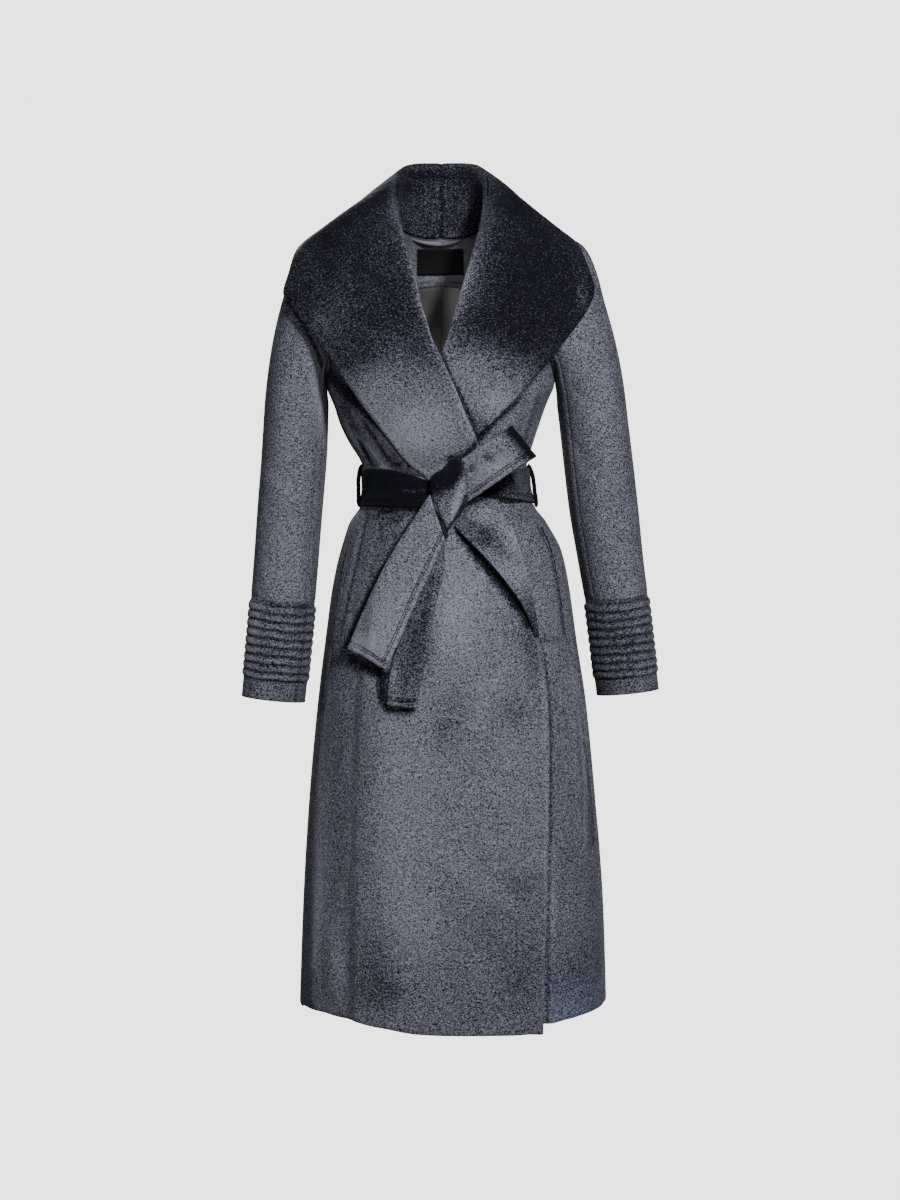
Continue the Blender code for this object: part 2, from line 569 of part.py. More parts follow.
def collar_controls(side, lapel):
    """Seam, roll and edge of every section of a collar with its lapel.

    Each is (x, y, z, height). Round the neck y holds; on the lapel the height over the support
    does, and `flat` goes from 0 to 1 between them.
    """
    count, more = len(COLLAR), len(lapel)
    seam, roll, edge = (COLLAR[:, k:k + 3] * (side, 1, 1) for k in (0, 3, 6))
    edge = edge + REACH_SHARE[:, None] * np.array(COLLAR_REACH[side]) * (side, 1, 1)
    roll_x, roll_z, edge_x, edge_z, under, rounding, base, edge_height = lapel.T

    def placed(x, z, height):
        y = support_y(x, z) - height * slant(support_y, x, z)
        return np.column_stack([x, y, z, height])

    low_seam = placed(roll_x + side * under, under_height(lapel), base)
    low_roll = placed(roll_x, roll_z, base + rounding)
    low_edge = placed(edge_x, edge_z, edge_height)
    pad = np.full((count, 1), base[0])
    rows_seam = np.vstack([np.hstack([seam, pad]), low_seam])
    rows_roll = np.vstack([np.hstack([roll, pad + rounding[0]]), low_roll])
    rows_edge = np.vstack([np.hstack([edge, pad]), low_edge])
    facing = np.concatenate([COLLAR[:, 9], [24.0, 10.0], np.zeros(more - 2)])
    size = np.concatenate([COLLAR[:, 10], rounding])
    bulge = np.concatenate([COLLAR[:, 11], [0.012, 0.004], np.zeros(more - 2)])
    flat = np.concatenate([np.zeros(count), [0.45, 0.85], np.ones(more - 2)])
    front = np.concatenate([np.zeros(4), [0.3, 1.0, 1.0], np.ones(more)])
    return np.hstack([rows_seam, rows_roll, rows_edge,
                      np.column_stack([facing, size, bulge, flat, front])])


def collar_surface(side, lapel, rows, stand_columns, fall_columns):
    """The middle surface of a collar with its lapel, as a grid from seam over roll to edge."""
    table = spread_rows(collar_controls(side, lapel), rows)
    seam, roll, edge = table[:, 0:4], table[:, 4:8], table[:, 8:12]
    facing, size, bulge, flat, front = table[:, 12:].T
    heading = np.radians(facing)
    push = np.column_stack([side * np.sin(heading), -np.cos(heading), np.zeros(rows),
                            np.ones(rows)]) * size[:, None]
    up_and_out = np.column_stack([0.5 * side * np.sin(heading), -np.cos(heading),
                                  np.full(rows, 0.7), np.zeros(rows)])
    up_and_out *= (bulge / np.linalg.norm(up_and_out, axis=1))[:, None]
    foot, crown = roll - push, roll + push
    hang = crown + (edge - crown) * np.array([0.55, 0.55, 0.50, 0.10])
    stand = bezier(seam, seam + 0.62 * (foot - seam), foot, roll, np.linspace(0, 1, stand_columns))
    fall_share = np.linspace(0, 1, fall_columns) ** 1.35
    fall = bezier(roll, crown + up_and_out, hang + up_and_out, edge, fall_share)
    points = np.concatenate([stand, fall[:, 1:]], axis=1)
    x, y, z, height = np.moveaxis(points, -1, 0)
    laid = support_y(x, z) - height * slant(support_y, x, z)
    y = y + flat[:, None] * (laid - y)
    over = np.zeros(points.shape[1])
    over[stand_columns + 1:] = 1.0
    clear = front_y(x, z) - COLLAR_CLEARANCE * slant(front_y, x, z)
    kept = soft_least(y, clear, 0.004)
    y = y + over * front[:, None] * (1 - flat[:, None]) * (kept - y)
    return np.stack([x, y, z], axis=-1)


def build_collar(name, side, lapel, rows):
    surface = collar_surface(side, lapel, rows, stand_columns=6, fall_columns=10)
    normal = grid_normals(surface)
    half = COLLAR_CLOTH / 2
    return wall(name, surface + normal * half, surface - normal * half, COAT_CLOTH)


# ---------------------------------------------------------------- sleeves
def armhole_loop(side, turn):
    """The armhole at angles `turn`: 0 at the underarm, 90 in front, 180 on the shoulder."""
    turn = np.asarray(turn, float) % 360
    in_front = turn <= 180
    climb = np.where(in_front, turn, 360 - turn) / 180
    level = UNDERARM_LEVEL * (1 - ramp(climb, -0.12, 1.12))
    level = np.where(climb <= 0, UNDERARM_LEVEL, np.where(climb >= 1, 0.0, level))
    hole = smooth_table(ARMHOLE, level)
    angle = np.where(in_front, hole[..., 0], hole[..., 1])
    angle = np.where(climb <= 0, 90.0, np.where(climb >= 1, 90.0, angle))
    return body_point(side * angle, level)


def sleeve_ring(side, table, turn, level, tilt=CUFF_TILT):
    """An oval ring of the sleeve round its centre line, dropped towards the body by `tilt`."""
    centre, half_width, half_depth, centre_y = np.moveaxis(smooth_table(table, level), -1, 0)
    turn = np.radians(turn)
    across = -np.cos(turn) * half_width
    x = centre + side * across
    y = centre_y - np.sin(turn) * half_depth
    z = level + tilt * across
    return np.stack([x, y, z + np.zeros_like(x)], axis=-1)


def sleeve_surface(side, table, turn, cap_rows, arm_rows, end_level):
    """Grid over a sleeve: a cap from the armhole to the upper arm, then rings to the cuff."""
    turn = np.asarray(turn, float)
    start = armhole_loop(side, turn)
    top_level = -0.240
    first = sleeve_ring(side, table, turn, np.full(turn.shape, top_level), tilt=0.0)
    out = np.array([side, 0.0, 0.0])
    upper = (1 - np.cos(np.radians(turn))) / 2
    push = (0.010 + 0.018 * upper)[:, None] * out
    drop = np.stack([np.zeros_like(upper), np.zeros_like(upper),
                     0.012 + 0.105 * upper], axis=-1)
    lean = side * np.array([0.012, 0.0, 0.0]) * upper[:, None]
    t = np.linspace(0, 1, cap_rows)
    start = start + out * 0.0013
    cap = bezier(start, start + push, first + drop - lean, first, t)
    levels = np.linspace(top_level, end_level, arm_rows)[1:]
    tilts = CUFF_TILT * ramp(levels, top_level, top_level - 0.15)
    arm = np.stack([sleeve_ring(side, table, turn, np.full(turn.shape, level), tilt)
                    for level, tilt in zip(levels, tilts)], axis=1)
    return np.concatenate([cap, arm], axis=1)


def build_sleeve(label, side, table):
    front_seam, back_seam = SLEEVE_SEAMS
    step = 0.55
    end_level = CUFF_LEVELS[side][0] + 0.0010
    upper_turn = np.linspace(front_seam + step, back_seam - step, 15)
    under_turn = np.linspace(back_seam + step - 360, front_seam - step, 7)
    for part, turn in (("upper", upper_turn), ("under", under_turn)):
        surface = sleeve_surface(side, table, turn, cap_rows=8, arm_rows=8, end_level=end_level)
        cloth_wall(f"sleeve_{part}_{label}", surface, -side, COAT_CLOTH)


def rib_profile(distance):
    """Height of the cuff's ribs at a distance below its seam: a row of half-round rolls."""
    along = (distance - RIB_START) / RIB_PITCH
    inside = (along > 0) & (along < RIB_COUNT)
    return np.where(inside, RIB_HEIGHT * np.sqrt(np.abs(np.sin(np.pi * along))), 0.0)


def build_cuff(label, side, table, around=14, rib_steps=4):
    """A closed cuff tube: ribs in the outer points, over a plain inside with few rows."""
    top, bottom = CUFF_LEVELS[side]
    ribs_end = RIB_START + RIB_COUNT * RIB_PITCH
    distance = np.concatenate([[0.0], RIB_START + RIB_PITCH * np.arange(
        RIB_COUNT * rib_steps + 1) / rib_steps, [ribs_end + 0.004, top - bottom]])
    turn = np.linspace(0, 360, around, endpoint=False)
    outer = np.stack([sleeve_ring(side, table, turn, np.full(around, top - d))
                      for d in distance])
    sideways = np.stack([-side * np.cos(np.radians(turn)), -np.sin(np.radians(turn)),
                         np.zeros(around)], axis=-1)
    outer = outer + rib_profile(distance)[:, None, None] * sideways
    inner = np.stack([sleeve_ring(side, table, turn, np.full(around, top - d))
                      for d in (0.0, 0.5 * (top - bottom), top - bottom)]) - CLOTH * sideways
    rings = np.concatenate([outer, inner[::-1]])
    count = len(rings)
    vertices = rings.reshape(-1, 3)
    faces = [(i * around + j, i * around + (j + 1) % around,
              (i + 1) % count * around + (j + 1) % around, (i + 1) % count * around + j)
             for i in range(count) for j in range(around)]
    new_object(f"cuff_{label}", vertices, faces, CUFF_CLOTH, 60)


# ---------------------------------------------------------------- belt
def belt_lift(x):
    """Room under the belt for the layers at the front."""
    return BELT_CLEARANCE + BELT_OVER_FRONTS * ramp(x, -0.086, -0.054) * ramp(x, 0.112, 0.088)


def build_belt_band():
    """The belt round the waist, its two ends parted under the knot."""
    angle = np.linspace(KNOT_ANGLE + BELT_HALF_GAP, KNOT_ANGLE + 360 - BELT_HALF_GAP, 49)
    level = np.array([BELT_BOTTOM, -0.3520, BELT_TOP])
    surface = body_point(angle[:, None], level[None, :])
    forward = np.cos(np.radians(angle)) > 0
    lift = np.where(forward, belt_lift(surface[:, 1, 0]), BELT_CLEARANCE)
    normal = grid_normals(surface)
    normal[..., 2] *= 0.3
    normal /= np.linalg.norm(normal, axis=-1, keepdims=True)
    inner = surface + normal * lift[:, None, None]
    return wall("belt_band", inner + normal * BELT_THICKNESS, inner, COAT_CLOTH)


def laid_band(name, left, right, heights, columns, rows=15):
    """A belt end laid over the skirt.

    left and right are its two edges in the front view, from the knot down, and heights its
    stand-off above the fronts at each of their rows.
    """
    left, right = (spread_rows(np.asarray(edge), rows)[:, None] for edge in (left, right))
    high = spread_rows(np.asarray(heights)[:, None], rows)
    share = np.linspace(0, 1, columns)
    place = left + (right - left) * share[None, :, None]
    x, z = place[..., 0], place[..., 1]
    crown = BELT_CROWN * (1 - (2 * share - 1) ** 2)
    stand_off = top_layer_lift(x, z) + high + crown
    y = front_y(x, z) - stand_off * slant(front_y, x, z)
    surface = np.stack([x, y, z], axis=-1)
    return cloth_wall(name, surface, -1, COAT_CLOTH, thickness=BELT_END_THICKNESS,
                      lift=BELT_END_THICKNESS)


def build_belt_tails():
    laid_band("belt_tail_front",
              left=[(-0.0150, -0.3600), (-0.0390, -0.3965), (-0.0590, -0.4270), (-0.0770, -0.4586),
                    (-0.0924, -0.4919), (-0.1062, -0.5252), (-0.1224, -0.5640)],
              right=[(0.0050, -0.4170), (-0.0030, -0.4370), (-0.0140, -0.4610),
                     (-0.0273, -0.4892), (-0.0419, -0.5199), (-0.0565, -0.5520),
                     (-0.0720, -0.5867)],
              heights=[0.0195, 0.0205, 0.0200, 0.0190, 0.0175, 0.0165, 0.0150], columns=6)
    laid_band("belt_tail_rear",
              left=[(-0.0160, -0.4190), (-0.0320, -0.4600), (-0.0420, -0.4950),
                    (-0.0530, -0.5400), (-0.0640, -0.5950), (-0.0703, -0.6384)],
              right=[(0.0055, -0.4165), (0.0046, -0.4577), (-0.0024, -0.4900),
                     (-0.0114, -0.5300), (-0.0208, -0.5870), (-0.0328, -0.6411)],
              heights=[0.0110, 0.0090, 0.0080, 0.0075, 0.0070, 0.0065], columns=5)


def build_belt_loop(sections=9, columns=6):
    """The half bow: the band led out to a rounded fold and back, flattened."""
    start = np.array([(0.0398, -0.3660), (0.0352, -0.3120)])
    end = np.array([(0.1275, -0.3072), (0.0955, -0.2677)])
    share = np.linspace(0, 1, columns)[:, None]
    start = start[0] + (start[1] - start[0]) * share
    end = end[0] + (end[1] - end[0]) * share
    bend = np.radians(np.linspace(0, 180, 7)[1:-1])
    length = np.linalg.norm(end - start, axis=1).mean()
    out = np.linspace(0, 1 - LOOP_FOLD / length, sections)
    run = np.concatenate([out, 1 - LOOP_FOLD / length * (1 - np.sin(bend)), out[::-1]])
    gap = LOOP_FOLD * (0.68 + 0.32 * ramp(run, 0.0, 0.6)) + 0.0020 * np.sin(np.pi * run) ** 2
    depth = np.concatenate([np.ones(sections), np.cos(bend), -np.ones(sections)]) * gap
    place = start[None] + run[:, None, None] * (end - start)[None]
    middle = LOOP_START_DEPTH + LOOP_REACH * ramp(run, -0.2, 1.1)
    crown = BELT_CROWN * (1 - (2 * share[:, 0] - 1) ** 2)
    y = -(middle + depth)[:, None] - crown[None, :]
    surface = np.stack([place[..., 0], y, place[..., 1]], axis=-1)
    return cloth_wall("belt_loop", surface, 1, COAT_CLOTH, thickness=BELT_END_THICKNESS,
                      flat_angle=60)


def build_belt_knot(rows=13, columns=9):
    """The knot: the wrap of the band over the crossing, narrowing to its lower tip."""
    profile = spread_rows(KNOT, rows)
    z, left, right, front, back = profile.T
    turn = np.radians(np.linspace(-90, 90, columns))
    x = (left + right)[:, None] / 2 + (right - left)[:, None] / 2 * np.sin(turn)
    y = -back[:, None] - (front - back)[:, None] * np.cos(turn) ** 0.6
    behind = np.broadcast_to(0.0020 - back[:, None], x.shape)
    z = np.broadcast_to(z[:, None], x.shape)
    return wall("belt_knot", np.stack([x, y, z], axis=-1), np.stack([x, behind, z], axis=-1),
                COAT_CLOTH, 50)


def build_carriers(points=9):
    """Thread carriers: a cord out of the coat, over the belt and back in, on each side."""
    for label, side in (("right", -1), ("left", 1)):
        level = np.linspace(BELT_TOP + 0.009, BELT_BOTTOM - 0.008, points)
        path = body_point(np.full(points, side * CARRIER_ANGLE), level)
        path[:, 0] += side * (0.0034 + 0.0072 * np.sin(np.pi * np.linspace(0, 1, points)) ** 0.6)
        tube(f"belt_carrier_{label}", path, CARRIER_RADIUS, 5, COAT_CLOTH)


# ---------------------------------------------------------------- inside the neck
def back_place(x, z):
    """Points of the back's outer face that lie at (x, z) in the front view."""
    level = level_of(x, z)
    points = body_point(180 - angle_of(x, level), level)
    points[..., 1] += SEAM
    return points


def build_neck_inside():
    """The facing below the neck seam, the lining below it, and the label on the facing."""
    angle = np.linspace(FACING_ENDS[0], FACING_ENDS[1], 11)
    top = neck_scoop(angle) - 0.0040
    share = np.linspace(0, 1, 4)[:, None]
    facing = body_point(angle[None, :], FACING_BOTTOM + (top - FACING_BOTTOM)[None, :] * share)
    facing[..., 1] += SEAM
    cloth_wall("neck_facing", facing, -1, COAT_CLOTH, thickness=FACING_CLOTH,
               lift=-FACING_DEPTH)
    levels = PANEL_LEVELS[(PANEL_LEVELS > -0.340) & (PANEL_LEVELS < FACING_BOTTOM - 0.0025)]
    lining = body_point(np.linspace(116, 244, 13)[None, :],
                        np.append(levels, FACING_BOTTOM - 0.0025)[:, None])
    lining[..., 1] += SEAM
    cloth_wall("back_lining", lining, -1, LINING_SATIN, thickness=LINING_CLOTH,
               lift=-LINING_DEPTH)
    label = back_place(np.linspace(0.0326, -0.0344, 5)[None, :],
                       np.linspace(-0.0506, -0.0160, 3)[:, None])
    cloth_wall("neck_label", label, -1, LABEL_BLACK, thickness=LABEL_THICKNESS,
               lift=-(FACING_DEPTH + FACING_CLOTH + 0.0013))


def build_hanger_loop(points=13):
    """A cord that sags between two places of the neck seam, just clear of the facing."""
    t = np.linspace(0, 1, points)
    x = -0.0370 + 0.0640 * t
    z = -0.0068 - 0.0062 * np.sin(np.pi * t)
    y = back_place(x, z)[:, 1] - HANGER_STAND_OFF
    tube("hanger_loop", np.column_stack([x, y, z]), HANGER_RADIUS, 5, LOOP_SATIN)


def build_pocket_welts():
    """The edges of the side seam pockets: narrow strips moved out from the front panel."""
    for label, side in (("right", -1), ("left", 1)):
        level = np.linspace(-0.562, -0.405, 12)
        seam = side_angle(level)
        reach = np.array([0.8, 2.6, 4.4])
        angle = side * (seam[:, None] - reach[None, :])
        surface = body_point(angle, level[:, None])
        surface[..., 1] -= SEAM
        cloth_wall(f"pocket_welt_{label}", surface, side, COAT_CLOTH, thickness=0.0012,
                   lift=0.0016)


# ---------------------------------------------------------------- the whole coat
def main():
    for obj in list(bpy.data.objects):
        bpy.data.objects.remove(obj)
    build_front("front_right", -1, LAPEL_RIGHT, EDGE_RIGHT, 17, top_layer_lift, 0.0)
    build_front("front_left", 1, LAPEL_LEFT, EDGE_LEFT, 13, None, UNDER_HEM_RISE)
    build_back()
    build_collar("collar_right", -1, LAPEL_RIGHT, 30)
    build_collar("collar_left", 1, LAPEL_LEFT, 24)
    build_sleeve("right", -1, SLEEVE_RIGHT)
    build_sleeve("left", 1, SLEEVE_LEFT)
    build_cuff("right", -1, SLEEVE_RIGHT)
    build_cuff("left", 1, SLEEVE_LEFT)
    build_belt_band()
    build_belt_tails()
    build_belt_loop()
    build_belt_knot()
    build_carriers()
    build_neck_inside()
    build_hanger_loop()
    build_pocket_welts()


main()
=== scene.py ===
"""A long wrap coat in brushed pile cloth: wide shawl collar, half-bow tie belt and ribbed cuffs.

Metres, +Z up; the front faces -Y and the wearer's left side is +X. Tables hold millimetres and
degrees. Every piece of cloth is a thin shell worked out from the coat's sections, with its
creases, seam dips, stitches and a nap tone that carries painted light, shade and sheen.
"""

import bpy
import numpy as np
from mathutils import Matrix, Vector


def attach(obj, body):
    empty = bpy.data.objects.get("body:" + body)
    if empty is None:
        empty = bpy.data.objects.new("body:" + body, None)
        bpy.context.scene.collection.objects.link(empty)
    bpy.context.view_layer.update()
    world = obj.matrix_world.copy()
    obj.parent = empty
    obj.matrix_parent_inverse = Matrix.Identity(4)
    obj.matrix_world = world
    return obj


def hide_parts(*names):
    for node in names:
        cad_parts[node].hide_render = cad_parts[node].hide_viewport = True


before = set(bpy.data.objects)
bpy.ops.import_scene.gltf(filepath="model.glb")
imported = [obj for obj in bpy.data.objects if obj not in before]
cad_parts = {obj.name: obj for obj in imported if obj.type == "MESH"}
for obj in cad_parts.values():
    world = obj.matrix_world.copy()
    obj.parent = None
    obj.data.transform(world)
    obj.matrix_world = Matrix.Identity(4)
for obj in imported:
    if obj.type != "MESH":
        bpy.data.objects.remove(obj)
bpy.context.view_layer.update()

MM = 0.001                # the tables hold millimetres

# ---------------------------------------------------------------- sizes of the coat
FRONT_CLOTH = 0.0020      # thickness of the thin shells of the fronts, back and sleeves
CLOTH = 0.0024            # and of one layer of coat cloth
COLLAR_CLOTH = 0.0022     # thickness of the collar's wall
LINING_CLOTH = 0.0010
EDGE_BULGE = 0.35         # how far a cloth's edge rounds out, as a share of its thickness
OVER_FRONT = 0.0048       # how far the right front is carried out over the left front,
OVER_LAPEL = 0.0038       # and how much more over the left lapel
SEAM = 0.0004             # room left at a seam, on each side of it
LAPEL_SEAM = 0.0028       # and between a lapel's turned part and the front, hidden by the fall
HEM_LEVEL = -1.0835       # height of the outer hem
HEM_TURN_IN = 0.045       # how far the hem's cloth is turned in
FRONT_FACING = 0.72       # where a front's facing starts, as a share of the way to its free edge
UNDER_HEM_RISE = 0.0085   # the under front's free corner hangs a little higher
CHEST_LEVEL = -0.120      # above this level the sections tilt with the shoulders
SHOULDER_PEAK = 0.045     # height where the two shoulder slopes would meet
SHOULDER_SLOPE = 0.36
# How roundly the chest and the back turn over into the shoulder: two powers for each
ROLLOVER = ((1.35, 0.60), (2.20, 0.50))
SECTION_POWER = 2.3       # 2 is an ellipse, more is squarer
UNDERARM_LEVEL = -0.200
NECK_HALF_WIDTH, NECK_BACK_DEPTH = 0.0765, 0.0790
NECK_SCOOP_DEPTH = 0.115  # how far down the back's rows dip with the neck
BACK_SHOULDER_END = 86.5  # degrees from the centre back to the end of the shoulder

BELT_TOP, BELT_BOTTOM = -0.326, -0.377
BELT_THICKNESS = 0.0040
BELT_CLEARANCE = 0.0016   # room between the belt and the coat
BELT_OVER_FRONTS = 0.0100  # more room in front, where both fronts and the lapels lie under it
BELT_CLOTH = 0.0034       # thickness of the thin shells of the belt, its knot and its ends
BELT_CROWN = 0.0030       # how far the middle of a belt end stands out over its edges
BELT_HALF_GAP = 2.0       # degrees between the knot's middle and each end of the band
KNOT_ANGLE = 4.0
LOOP_FOLD = 0.0064        # half the depth of the bow's loop at its fold
LOOP_START_DEPTH = 0.1205  # how far in front of the origin the loop starts
LOOP_REACH = 0.0180       # how much further forward it ends

RIB_COUNT, RIB_PITCH, RIB_HEIGHT = 9, 0.0116, 0.0026
RIB_START = 0.006         # plain strip between the cuff's seam and its first rib

# Body sections: level, half width, centre, depth in front and depth behind of the outer face
BODY = MM * np.array([
    (-1095, 216.8, 17.2, 160.5, 150), (-938, 210.7, 17.8, 154, 146),
    (-794, 200.2, 16.5, 147.5, 141), (-652, 186.8, 15.8, 140, 136), (-564, 175, 14.3, 133.5, 131),
    (-491, 165.1, 14.1, 127, 125), (-438, 153.5, 14.3, 119.5, 117), (-401, 136.5, 12.5, 109, 105),
    (-377, 120, 9.5, 99, 95), (-352, 114, 7.5, 95, 89.5), (-326, 113.5, 6, 96.5, 90),
    (-289, 126, 3, 106, 100), (-246, 142, 1, 114.5, 108.5), (-210, 152.5, 0, 118.5, 113),
    (-170, 158, 0, 119, 115), (-120, 162, 0, 116, 113), (-60, 170, 0, 114, 112),
    (0, 178, 0, 112, 110)])

# Soft folds of the skirt: angle from the front, its drift per metre down, top and bottom level,
# half width in degrees, and how far it stands out (or in, below zero)
FOLDS = np.array((1, 1, MM, MM, 1, MM)) * np.array([
    (-50, 6, -640, -1020, 14, -2.2), (-27, 0, -560, -1300, 13, 4.5), (-60, 0, -820, -1300, 6, 3),
    (-4, -22, -620, -860, 8, -3), (11, 0, -700, -1300, 12, 3), (32, 8, -800, -1300, 10, -2.8),
    (74, 4, -480, -950, 8, 3), (112, -6, -385, -1300, 10, 6), (137, 0, -385, -1300, 10, -6.5),
    (160, 4, -385, -1300, 11, 6), (186, 0, -385, -1100, 10, -5.5), (208, -4, -385, -1300, 11, 6),
    (230, 4, -385, -1300, 10, -6.5), (254, 4, -385, -1300, 10, 5.5)])

# How much higher the hem hangs towards the sides: angle from the front, rise
HEM_RISE = np.array((1, MM)) * np.array([
    (-180, 4), (-120, 6.5), (-80, 7.5), (-35, 1), (0, 0), (45, 1), (80, 13.5), (130, 7), (180, 4)])
HEM_FADE = (-0.800, -1.060)    # levels between which that rise comes in

# Side seam: level and angle from the front
SIDE_SEAM = np.array((MM, 1)) * np.array([
    (-1100, 76), (-800, 73), (-564, 67), (-490, 66), (-405, 66), (-326, 68), (-260, 78),
    (-200, 90), (0, 90)])

# Armhole: level, and its angle from the front on the front panel and on the back panel
ARMHOLE = np.array((MM, 1, 1)) * np.array([
    (-200, 89, 91), (-190, 78, 101), (-165, 67, 112), (-120, 60, 118), (-60, 62, 114),
    (-25, 69, 107), (-8, 78, 99), (0, 86.5, 93.5)])

# The surface that bridges from the chest to the upper arm, under the outer part of the lapels:
# level, half width, depth in front
SUPPORT = MM * np.array([
    (-600, 180, 130), (-326, 113.5, 92.5), (-289, 130, 102), (-246, 149, 110.5), (-205, 172, 115),
    (-165, 196, 115.5), (-130, 209, 111), (-100, 215, 102), (-70, 220, 88), (-34, 225, 69),
    (0, 230, 50)])
SUPPORT_BLEND = 0.003     # how softly the bridge takes over from the fronts

# Collar from the centre back to the front of the shoulder: x, y and z of its seam, roll and edge,
# then the way it faces at the roll (180 is backwards, 0 forwards), the roll's size and how far
# the middle of the fall is lifted over the shoulder
COLLAR = np.array([MM] * 9 + [1, MM, MM]) * np.array([
    (0.6, 76.8, 0, 0.6, 86, 104, 0.6, 129, -56, 180, 19, 0),
    (27.5, 71.5, 0.2, 27, 83.5, 103.5, 60, 127, -56, 168, 18, 0),
    (49, 57.5, 5.7, 47.5, 72, 99, 118, 108, -44, 145, 17, 3),
    (66, 33.5, 12.5, 60, 50, 83, 169, 56, -19, 116, 16, 1),
    (73.5, 6, 18.5, 66.5, 21, 60, 186, 10, -14, 94, 14, 6),
    (71.8, -21.5, 11, 63.5, -11, 34, 201, -30, -40, 70, 12, 26),
    (65, -52, -13.5, 56, -44, 3, 211, -46, -80, 42, 9, 26)])
# How much further the collar reaches over each shoulder, and each of its sections' share of it
COLLAR_REACH = {-1: (0.0055, 0.0, -0.0050), 1: (0.0, 0.0, 0.0)}
REACH_SHARE = np.array([0.0, 0.1, 0.5, 1.0, 1.0, 1.0, 0.8])
COLLAR_CLEARANCE = 0.0045  # room kept under the fall of the collar over the fronts

# Lapels from the shoulder down to where they end: x and z of the roll and of the outer edge, the
# width turned under, the roll's half height, the height of the cloth it springs from, and the
# height of its outer edge above the front
LAPEL_RIGHT = MM * np.array([
    (-45, -34, -198, -108.5, 15, 6.5, 2, 6), (-35, -70, -176, -139.1, 14, 6, 0, 6),
    (-26.5, -104.8, -153.7, -172, 14, 5.5, -1, 7), (-14.5, -137.5, -131, -203, 14, 5, -0.5, 9),
    (-1, -168, -110, -232, 14, 4.2, 4.3, 12), (13.9, -207, -87, -262, 14, 4, 7, 14.5),
    (30.6, -242.8, -64, -292, 14, 3.8, 7, 14), (47, -276, -43, -318, 14, 3, 6.4, 11.5),
    (58, -320, -20, -335, 14, 2.7, 3.8, 8), (70, -352, -4, -362, 14, 2.7, 3.2, 7.2),
    (83, -378, 8, -388, 14, 2.8, 3.2, 7.7), (95, -402.9, 23.5, -406, 14, 3, 3.2, 10.5),
    (109, -443, 61, -444, 13, 4, 3.2, 15), (121, -486.4, 96.5, -487, 10, 3.8, 3.2, 14.5),
    (128.5, -525, 119, -525, 7, 3, 3.2, 10.5), (132.5, -550, 127, -550, 4, 2.2, 3.2, 7.5)])
LAPEL_LEFT = MM * np.array([
    (45, -31, 198.3, -111, 15, 6.5, 2, 6), (34.5, -65, 173, -145, 14, 6, 0, 6),
    (24, -102, 150, -173, 14, 5, -1, 6.5), (12, -137, 127, -199, 14, 3.8, -1.2, 7),
    (0, -166, 106, -224, 14, 2.4, -1.2, 7), (-9, -200, 83, -248, 14, 1.9, -1.2, 6.5),
    (-12, -234, 62, -269, 14, 1.8, -1.2, 5), (-9, -264, 40, -288, 14, 1.8, -1.2, 3.2),
    (0, -290, 22, -300, 12, 1.8, -1.2, 2.6)])

# Front edges below the lapels: level and place across
EDGE_RIGHT = MM * np.array([
    (-1100, 137.5), (-964, 140.2), (-852, 142), (-768, 143.9), (-670, 143.8), (-619, 140.5),
    (-585, 137), (-562, 133.8)])
EDGE_LEFT = MM * np.array([
    (-1100, -105), (-700, -98), (-500, -80), (-400, -56), (-350, -33), (-330, -8), (-306, 13.5)])
# Neck seam of the fronts, from the shoulder to the top of the lapel: x and z
NECK_SEAM = MM * np.array([(76.5, 17.5), (73.5, 10), (66.5, -14)])

# Sleeves: level, centre across, half width, half depth, centre in depth
SLEEVE_RIGHT = MM * np.array([
    (-231, -199, 43.5, 57, 0), (-309, -203.8, 45, 56, 3), (-389, -210.5, 44.5, 53.5, 4),
    (-474, -217.6, 44.8, 51.5, -4), (-507, -220.2, 44.8, 51, -9), (-650, -233.1, 44.1, 50, -30)])
SLEEVE_LEFT = MM * np.array([
    (-231, 208.5, 48, 58, 0), (-302, 217, 47.9, 56, 3), (-373, 225.7, 47.6, 53.5, 4),
    (-460, 237.8, 45, 51.5, -3), (-503, 244.2, 44, 51, -9), (-640, 260, 43.2, 50, -29)])
CUFF_LEVELS = {-1: (-0.5075, -0.6480), 1: (-0.5035, -0.6385)}
CUFF_TILT = 0.105         # the cuff's rings drop towards the body
SLEEVE_SEAMS = (41.0, 305.0)   # angle from the inner side, over the front, of the two seams
SLEEVE_SEAM_ROOM = 0.4         # degrees left at each of them, on each side
HEAD_FULLNESS = {-1: 0.0, 1: 0.0125}   # how far the sleeve's head puffs beside the collar

# Inside the neck
FACING_ENDS = (162.0, 198.0)    # angles from the front
FACING_BOTTOM = -0.0800         # level of its lower edge
FACING_CLOTH = 0.0012
FACING_DEPTH = CLOTH + 0.0018   # how far in from the back's outer face it lies
LINING_DEPTH = CLOTH + 0.0029
LABEL_THICKNESS = 0.0008
HANGER_STAND_OFF = 0.0120
PLEAT_X = 0.0005                # the lining's centre pleat
SPREAD = np.linspace(-1, 1, 161)   # columns of the lining, closer together at the pleat

CARRIER_ANGLE = 84.0
CARRIER_THREAD = 0.0030         # half its thickness

